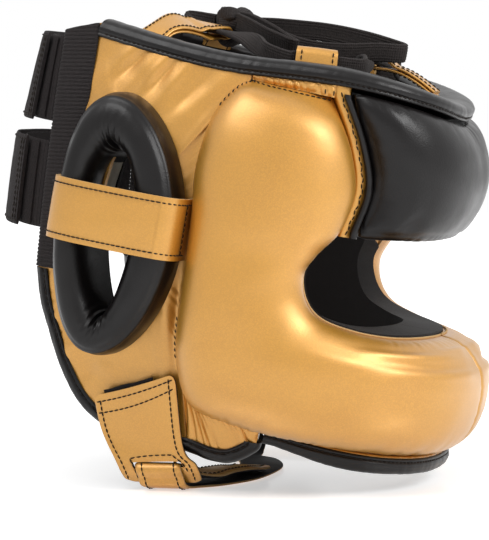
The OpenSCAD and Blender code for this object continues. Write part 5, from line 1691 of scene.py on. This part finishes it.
def maths(tree, operation, a, b):
    made = tree.nodes.new("ShaderNodeMath")
    made.operation = operation
    for socket, value in zip(made.inputs, (a, b)):
        if isinstance(value, bpy.types.NodeSocket):
            tree.links.new(value, socket)
        else:
            socket.default_value = value
    return made.outputs[0]


def bump(tree, height, distance, below=None, strength=1.0):
    made = add(tree, "ShaderNodeBump", Height=height, Distance=distance, Strength=strength)
    if below is not None:
        tree.links.new(below, made.inputs["Normal"])
    return made.outputs[0]


def leather(name, colour, deep, roughness, metallic, grain, sparkle, wrinkle):
    """Leather with a broad change of tone, painted shade along sewn seams, pebble grain of cell size
    grain, soft wrinkles of height wrinkle and, on a metallic cover, a fine sparkle."""
    mat, tree, shader = blank(name)
    place = tree.nodes.new("ShaderNodeTexCoord").outputs["Object"]
    broad = span(tree, noise(tree, place, 14, 2), 0.35, 0.7, 0.0, 0.25)
    # Painted shade: along sewn seams the colour is mixed towards deep, over the random tone.
    seam = add(tree, "ShaderNodeAttribute", attribute_name="seam").outputs["Fac"]
    tone = maths(tree, "MAXIMUM", broad, maths(tree, "MULTIPLY", seam, 0.75))
    mixed = blend_colour(tree, tone, colour, deep)
    if sparkle:
        flakes = add(tree, "ShaderNodeTexVoronoi", Vector=place, Scale=1.0 / 0.0006).outputs["Color"]
        light = add(tree, "ShaderNodeSeparateColor", Color=flakes).outputs[0]
        bright = tuple(min(1.0, c * (1 + sparkle)) for c in colour)
        mixed = blend_colour(tree, span(tree, light, 0.3, 1.0, 0.0, 0.7), mixed, bright)
    tree.links.new(mixed, shader.inputs["Base Color"])
    rough = span(tree, noise(tree, place, 60, 4), 0.3, 0.7, roughness - 0.05, roughness + 0.07)
    tree.links.new(rough, shader.inputs["Roughness"])
    shader.inputs["Metallic"].default_value = metallic
    shader.inputs["Specular IOR Level"].default_value = 0.5 if metallic else 0.28
    if metallic:
        shader.inputs["Coat Weight"].default_value = 0.8
        shader.inputs["Coat Roughness"].default_value = 0.4
        shader.inputs["Coat IOR"].default_value = 1.65
    cells = add(tree, "ShaderNodeTexVoronoi", Vector=place, Scale=1 / grain, feature="SMOOTH_F1")
    pebble = bump(tree, cells.outputs["Distance"], grain * 0.1, strength=0.7)
    soft = bump(tree, noise(tree, place, 150, 3), wrinkle, pebble, 0.6)
    tree.links.new(bump(tree, noise(tree, place, 45, 2), wrinkle * 2.5, soft, 0.6), shader.inputs["Normal"])
    return mat


def textile(name, colour, light, roughness, thread_scale, depth, wave=False):
    """Matt woven or fuzzy cloth with a fine change of tone and a thread relief."""
    mat, tree, shader = blank(name)
    place = tree.nodes.new("ShaderNodeTexCoord").outputs["Object"]
    fuzz = noise(tree, place, thread_scale, 4, 0.7)
    mixed = blend_colour(tree, span(tree, fuzz, 0.35, 0.7, 0, 1), colour, light)
    tree.links.new(mixed, shader.inputs["Base Color"])
    rough = span(tree, fuzz, 0.3, 0.7, roughness, min(1, roughness + 0.12))
    tree.links.new(rough, shader.inputs["Roughness"])
    shader.inputs["Specular IOR Level"].default_value = 0.2
    shader.inputs["Sheen Weight"].default_value = 0.05
    shader.inputs["Sheen Roughness"].default_value = 0.5
    height = fuzz
    if wave:
        weave = add(tree, "ShaderNodeTexWave", Vector=tree.nodes.new("ShaderNodeUVMap").outputs[0],
                    Scale=wave, Distortion=1.2, Detail=1.0).outputs["Fac"]
        height = maths(tree, "ADD", weave, maths(tree, "MULTIPLY", fuzz, 0.6))
    tree.links.new(bump(tree, height, depth, strength=0.8), shader.inputs["Normal"])
    return mat


def scaled(shade, factor):
    """The colour made darker or lighter by a factor."""
    return tuple(c * factor for c in shade)


def make_finishes(look):
    """All materials, from the colours and roughnesses of the looks."""
    gold, deep, black, grain = tuple(look.gold), tuple(look.gold_deep), tuple(look.black), look.grain
    leather("metallic_gold", gold, deep, look.gold_roughness, 0.45, grain, 0.12, 0.00012)
    leather("satin_black", black, scaled(black, 0.5), look.black_roughness, 0.0, grain, 0, 0.00012)
    leather("leather_backing", scaled(black, 0.8), scaled(black, 0.4), 0.7, 0.0, grain, 0, 0.0002)
    leather("cut_edge", tuple(look.raw_edge), deep, 0.75, 0.0, grain * 0.6, 0, 0.0003)
    tape, lace, lining = tuple(look.tape), tuple(look.lace), tuple(look.lining)
    textile("lining_cloth", lining, scaled(lining, 1.3), 0.62, 900, 0.00012)
    textile("ribbed_tape", tape, scaled(tape, 2.2), 0.72, 700, 0.0002, wave=330)
    textile("hook_pile", scaled(tape, 0.8), scaled(tape, 2.4), 0.85, 1400, 0.0006)
    textile("lace_braid", lace, scaled(lace, 2.2), 0.74, 800, 0.0002, wave=260)
    textile("sewing_thread", tuple(look.thread), scaled(look.thread, 2.0), 0.6, 1500, 0.00008)
    foam = tuple(look.foam)
    textile("foam_core", foam, scaled(foam, 0.85), 0.9, 1200, 0.0003)


def finish_of(*names):
    """The materials of these names."""
    return [bpy.data.materials[name] for name in names]


# Stage
# Size of the view in pixels, and the column of the guard's middle in it
VIEW_W, VIEW_H = 489, 540
GUARD_MID_X = 246
# Point that the camera and the lamps look at, half the width of the floor and its depth, in metres
TARGET = Vector((0, STAND_Y * MM, 0.119))
FLOOR_HALF = 5.0
FLOOR_DROP = 0.0003
FLOOR_TONES = (0.84, 0.84, 0.84), (0.87, 0.87, 0.87)
WHITE = (1, 1, 1, 1)


def mixed_shader(tree, kind, first, second, **inputs):
    """The two shaders through a node that mixes or adds them, whose last sockets they take."""
    made = add(tree, kind, **inputs)
    for socket, value in zip(made.inputs[-2:], (first, second)):
        tree.links.new(value, socket)
    return made.outputs[0]


def make_floor():
    """White floor that keeps a soft shadow and a faint reflection. It glows where the camera
    sees it, fully from half a metre out, so that it runs into the white of the room."""
    mesh = bpy.data.meshes.new("studio_floor")
    corners = np.array([[-1, -1, 0], [1, -1, 0], [1, 1, 0], [-1, 1, 0]]) * FLOOR_HALF - [0, 0, FLOOR_DROP]
    mesh.from_pydata(corners.tolist(), [], [[0, 1, 2, 3]])
    floor = bpy.data.objects.new("studio_floor", mesh)
    bpy.context.scene.collection.objects.link(floor)
    mat = bpy.data.materials.new("studio_floor")
    mat.use_nodes = True
    tree = mat.node_tree
    tree.nodes.clear()
    place = tree.nodes.new("ShaderNodeTexCoord").outputs["Object"]
    tone = blend_colour(tree, noise(tree, place, 3), *FLOOR_TONES)
    matt = add(tree, "ShaderNodeBsdfDiffuse", Color=tone).outputs[0]
    gloss = add(tree, "ShaderNodeBsdfGlossy", Color=WHITE, Roughness=0.16).outputs[0]
    lacquer = mixed_shader(tree, "ShaderNodeMixShader", matt, gloss, Fac=0.14)
    path = tree.nodes.new("ShaderNodeLightPath").outputs
    seen = maths(tree, "MAXIMUM", path["Is Camera Ray"], path["Is Glossy Ray"])
    away = add(tree, "ShaderNodeVectorMath", operation="LENGTH", Vector=place).outputs["Value"]
    strength = maths(tree, "MULTIPLY", seen, span(tree, away, 0.1, 0.5, 0.5, 1.0))
    glow = add(tree, "ShaderNodeEmission", Color=WHITE, Strength=strength).outputs[0]
    total = mixed_shader(tree, "ShaderNodeAddShader", lacquer, glow)
    tree.links.new(total, tree.nodes.new("ShaderNodeOutputMaterial").inputs[0])
    mesh.materials.append(mat)


def make_room(ambient):
    """White room for the camera and for reflections, which lights the guard by ambient only."""
    world = bpy.data.worlds.new("studio_room")
    bpy.context.scene.world = world
    world.use_nodes = True
    tree = world.node_tree
    path = tree.nodes.new("ShaderNodeLightPath").outputs
    mirrored = maths(tree, "MAXIMUM", path["Is Glossy Ray"], path["Is Transmission Ray"])
    seen = maths(tree, "MAXIMUM", path["Is Camera Ray"], mirrored)
    back = tree.nodes["Background"]
    back.inputs["Color"].default_value = WHITE
    tree.links.new(span(tree, seen, 0, 1, ambient, 1.0), back.inputs["Strength"])


def make_camera(turn, rise, distance):
    """Camera in front of the right side, shifted so that the guard's middle takes its column."""
    toward = Vector((-np.cos(turn) * np.cos(rise), -np.sin(turn) * np.cos(rise), np.sin(rise)))
    camera = bpy.data.cameras.new("view_camera")
    camera.sensor_fit = "VERTICAL"
    camera.sensor_height = 36
    camera.lens = 172
    camera.clip_end = 50
    camera.shift_x = -(GUARD_MID_X - VIEW_W / 2) / VIEW_H
    eye = bpy.data.objects.new("view_camera", camera)
    bpy.context.scene.collection.objects.link(eye)
    eye.location = TARGET + toward * distance
    eye.rotation_euler = (-toward).to_track_quat("-Z", "Y").to_euler()
    bpy.context.scene.camera = eye


def make_lamp(name, power, width, place):
    """Square lamp of a width in metres, aimed at the target."""
    lamp = bpy.data.lights.new(name, "AREA")
    lamp.energy = power
    lamp.size = width
    light = bpy.data.objects.new(name, lamp)
    bpy.context.scene.collection.objects.link(light)
    light.location = place
    light.rotation_euler = (Vector(place) - TARGET).to_track_quat("Z", "Y").to_euler()


def make_stage(look):
    """Floor, room light, camera and two lamps."""
    bpy.context.scene.view_settings.view_transform = "Standard"
    make_floor()
    make_room(look.ambient)
    make_camera(look.view_turn, look.view_rise, look.view_distance)
    make_lamp("key_light", look.key_power, 0.9, (-0.75, 0.45, 1.45))
    make_lamp("front_light", look.front_power, 0.7, (-0.35, -1.25, 0.98))


# Operators

class HEADGUARD_OT_finishes(bpy.types.Operator):
    """Make the leathers, cloths, thread and foam"""
    bl_idname = "headguard.finishes"
    bl_label = "Finishes"
    bl_options = {"REGISTER", "UNDO"}

    def execute(self, context):
        make_finishes(context.scene.headguard_looks)
        return {"FINISHED"}


class HEADGUARD_OT_bumpers(bpy.types.Operator):
    """Build both cheek bumpers with their cut edge, foam and lining"""
    bl_idname = "headguard.bumpers"
    bl_label = "Cheek Bumpers"
    bl_options = {"REGISTER", "UNDO"}

    def execute(self, context):
        make_bumpers(*finish_of("metallic_gold", "cut_edge", "sewing_thread"))
        make_bumper_foams(*finish_of("foam_core"))
        make_cheek_linings(*finish_of("lining_cloth"))
        return {"FINISHED"}


class HEADGUARD_OT_panels(bpy.types.Operator):
    """Build both side panels with their foam and lining"""
    bl_idname = "headguard.panels"
    bl_label = "Side Panels"
    bl_options = {"REGISTER", "UNDO"}

    def execute(self, context):
        make_panels(*finish_of("metallic_gold"))
        make_panel_foams(*finish_of("foam_core"))
        make_side_linings(*finish_of("lining_cloth"))
        return {"FINISHED"}


class HEADGUARD_OT_ears(bpy.types.Operator):
    """Build the padded ear rings and the bands over them"""
    bl_idname = "headguard.ears"
    bl_label = "Ear Rings and Bands"
    bl_options = {"REGISTER", "UNDO"}

    def execute(self, context):
        make_ear_rings(*finish_of("satin_black"))
        make_ear_bands(*finish_of("metallic_gold", "cut_edge", "sewing_thread"))
        return {"FINISHED"}


class HEADGUARD_OT_forehead(bpy.types.Operator):
    """Build the forehead pad with its foam, base panel and lining"""
    bl_idname = "headguard.forehead"
    bl_label = "Forehead"
    bl_options = {"REGISTER", "UNDO"}

    def execute(self, context):
        make_forehead(*finish_of("satin_black"))
        make_forehead_foam(*finish_of("foam_core"))
        make_forehead_base(*finish_of("satin_black"))
        make_forehead_lining(*finish_of("lining_cloth"))
        return {"FINISHED"}


class HEADGUARD_OT_temples(bpy.types.Operator):
    """Build the stitched facings, pipings and gathered strips of the temples"""
    bl_idname = "headguard.temples"
    bl_label = "Temples"
    bl_options = {"REGISTER", "UNDO"}

    def execute(self, context):
        make_temples(*finish_of("metallic_gold", "satin_black", "sewing_thread"))
        return {"FINISHED"}


class HEADGUARD_OT_jaw(bpy.types.Operator):
    """Build the pleated gussets and the gathered flange of the chin"""
    bl_idname = "headguard.jaw"
    bl_label = "Jaw Gussets"
    bl_options = {"REGISTER", "UNDO"}

    def execute(self, context):
        make_jaw(*finish_of("metallic_gold"))
        return {"FINISHED"}


class HEADGUARD_OT_bindings(bpy.types.Operator):
    """Build the leather bindings of the rim, jaw and chin and the elastic tapes behind"""
    bl_idname = "headguard.bindings"
    bl_label = "Edge Bindings"
    bl_options = {"REGISTER", "UNDO"}

    def execute(self, context):
        make_bindings(*finish_of("satin_black", "sewing_thread"))
        make_rear_tapes(*finish_of("ribbed_tape"))
        return {"FINISHED"}


class HEADGUARD_OT_closures(bpy.types.Operator):
    """Build the two hook and loop closures behind the head"""
    bl_idname = "headguard.closures"
    bl_label = "Rear Closures"
    bl_options = {"REGISTER", "UNDO"}

    def execute(self, context):
        make_closures(*finish_of("ribbed_tape", "hook_pile", "sewing_thread"))
        return {"FINISHED"}


class HEADGUARD_OT_crown_loops(bpy.types.Operator):
    """Build the tongues and tabs that hold the lace"""
    bl_idname = "headguard.crown_loops"
    bl_label = "Crown Loops"
    bl_options = {"REGISTER", "UNDO"}

    def execute(self, context):
        make_crown_loops(*finish_of("metallic_gold", "cut_edge", "sewing_thread"))
        return {"FINISHED"}


class HEADGUARD_OT_laces(bpy.types.Operator):
    """Build the crown lace with its knot and bow"""
    bl_idname = "headguard.laces"
    bl_label = "Lace"
    bl_options = {"REGISTER", "UNDO"}

    def execute(self, context):
        make_laces(*finish_of("lace_braid"))
        make_knot(*finish_of("lace_braid"))
        return {"FINISHED"}


class HEADGUARD_OT_chin(bpy.types.Operator):
    """Build the slotted chin tab, the chin strap and its tail"""
    bl_idname = "headguard.chin"
    bl_label = "Chin Closure"
    bl_options = {"REGISTER", "UNDO"}

    def execute(self, context):
        make_chin_tab(*finish_of("metallic_gold", "cut_edge", "leather_backing", "sewing_thread"))
        make_chin_straps(*finish_of("metallic_gold", "leather_backing", "cut_edge", "sewing_thread"))
        return {"FINISHED"}


class HEADGUARD_OT_stage(bpy.types.Operator):
    """Set up the floor, the lights and the camera"""
    bl_idname = "headguard.stage"
    bl_label = "Studio Stage"
    bl_options = {"REGISTER", "UNDO"}

    def execute(self, context):
        make_stage(context.scene.headguard_looks)
        return {"FINISHED"}


OPERATORS = (
    HEADGUARD_OT_finishes, HEADGUARD_OT_bumpers, HEADGUARD_OT_panels, HEADGUARD_OT_ears,
    HEADGUARD_OT_forehead, HEADGUARD_OT_temples, HEADGUARD_OT_jaw, HEADGUARD_OT_bindings,
    HEADGUARD_OT_closures, HEADGUARD_OT_crown_loops, HEADGUARD_OT_laces, HEADGUARD_OT_chin,
    HEADGUARD_OT_stage,
)


class HEADGUARD_PT_sidebar(bpy.types.Panel):
    """Sizes, colours and building steps of the headguard"""
    bl_idname = "HEADGUARD_PT_sidebar"
    bl_label = "Boxing Headguard"
    bl_space_type = "VIEW_3D"
    bl_region_type = "UI"
    bl_category = "Headguard"

    def draw(self, context):
        looks = context.scene.headguard_looks
        for name in looks.bl_rna.properties.keys():
            if name not in ("rna_type", "name"):
                self.layout.prop(looks, name)
        for operator in OPERATORS:
            self.layout.operator(operator.bl_idname)


CLASSES = (HeadguardLooks, *OPERATORS, HEADGUARD_PT_sidebar)


def register():
    for cls in CLASSES:
        bpy.utils.register_class(cls)
    bpy.types.Scene.headguard_looks = bpy.props.PointerProperty(type=HeadguardLooks)


def unregister():
    del bpy.types.Scene.headguard_looks
    for cls in reversed(CLASSES):
        bpy.utils.unregister_class(cls)


def main():
    register()
    for name in ("finishes", "bumpers", "panels", "ears", "forehead", "temples", "jaw", "bindings",
                 "closures", "crown_loops", "laces", "chin", "stage"):
        getattr(bpy.ops.headguard, name)()


if __name__ == "__main__":
    main()
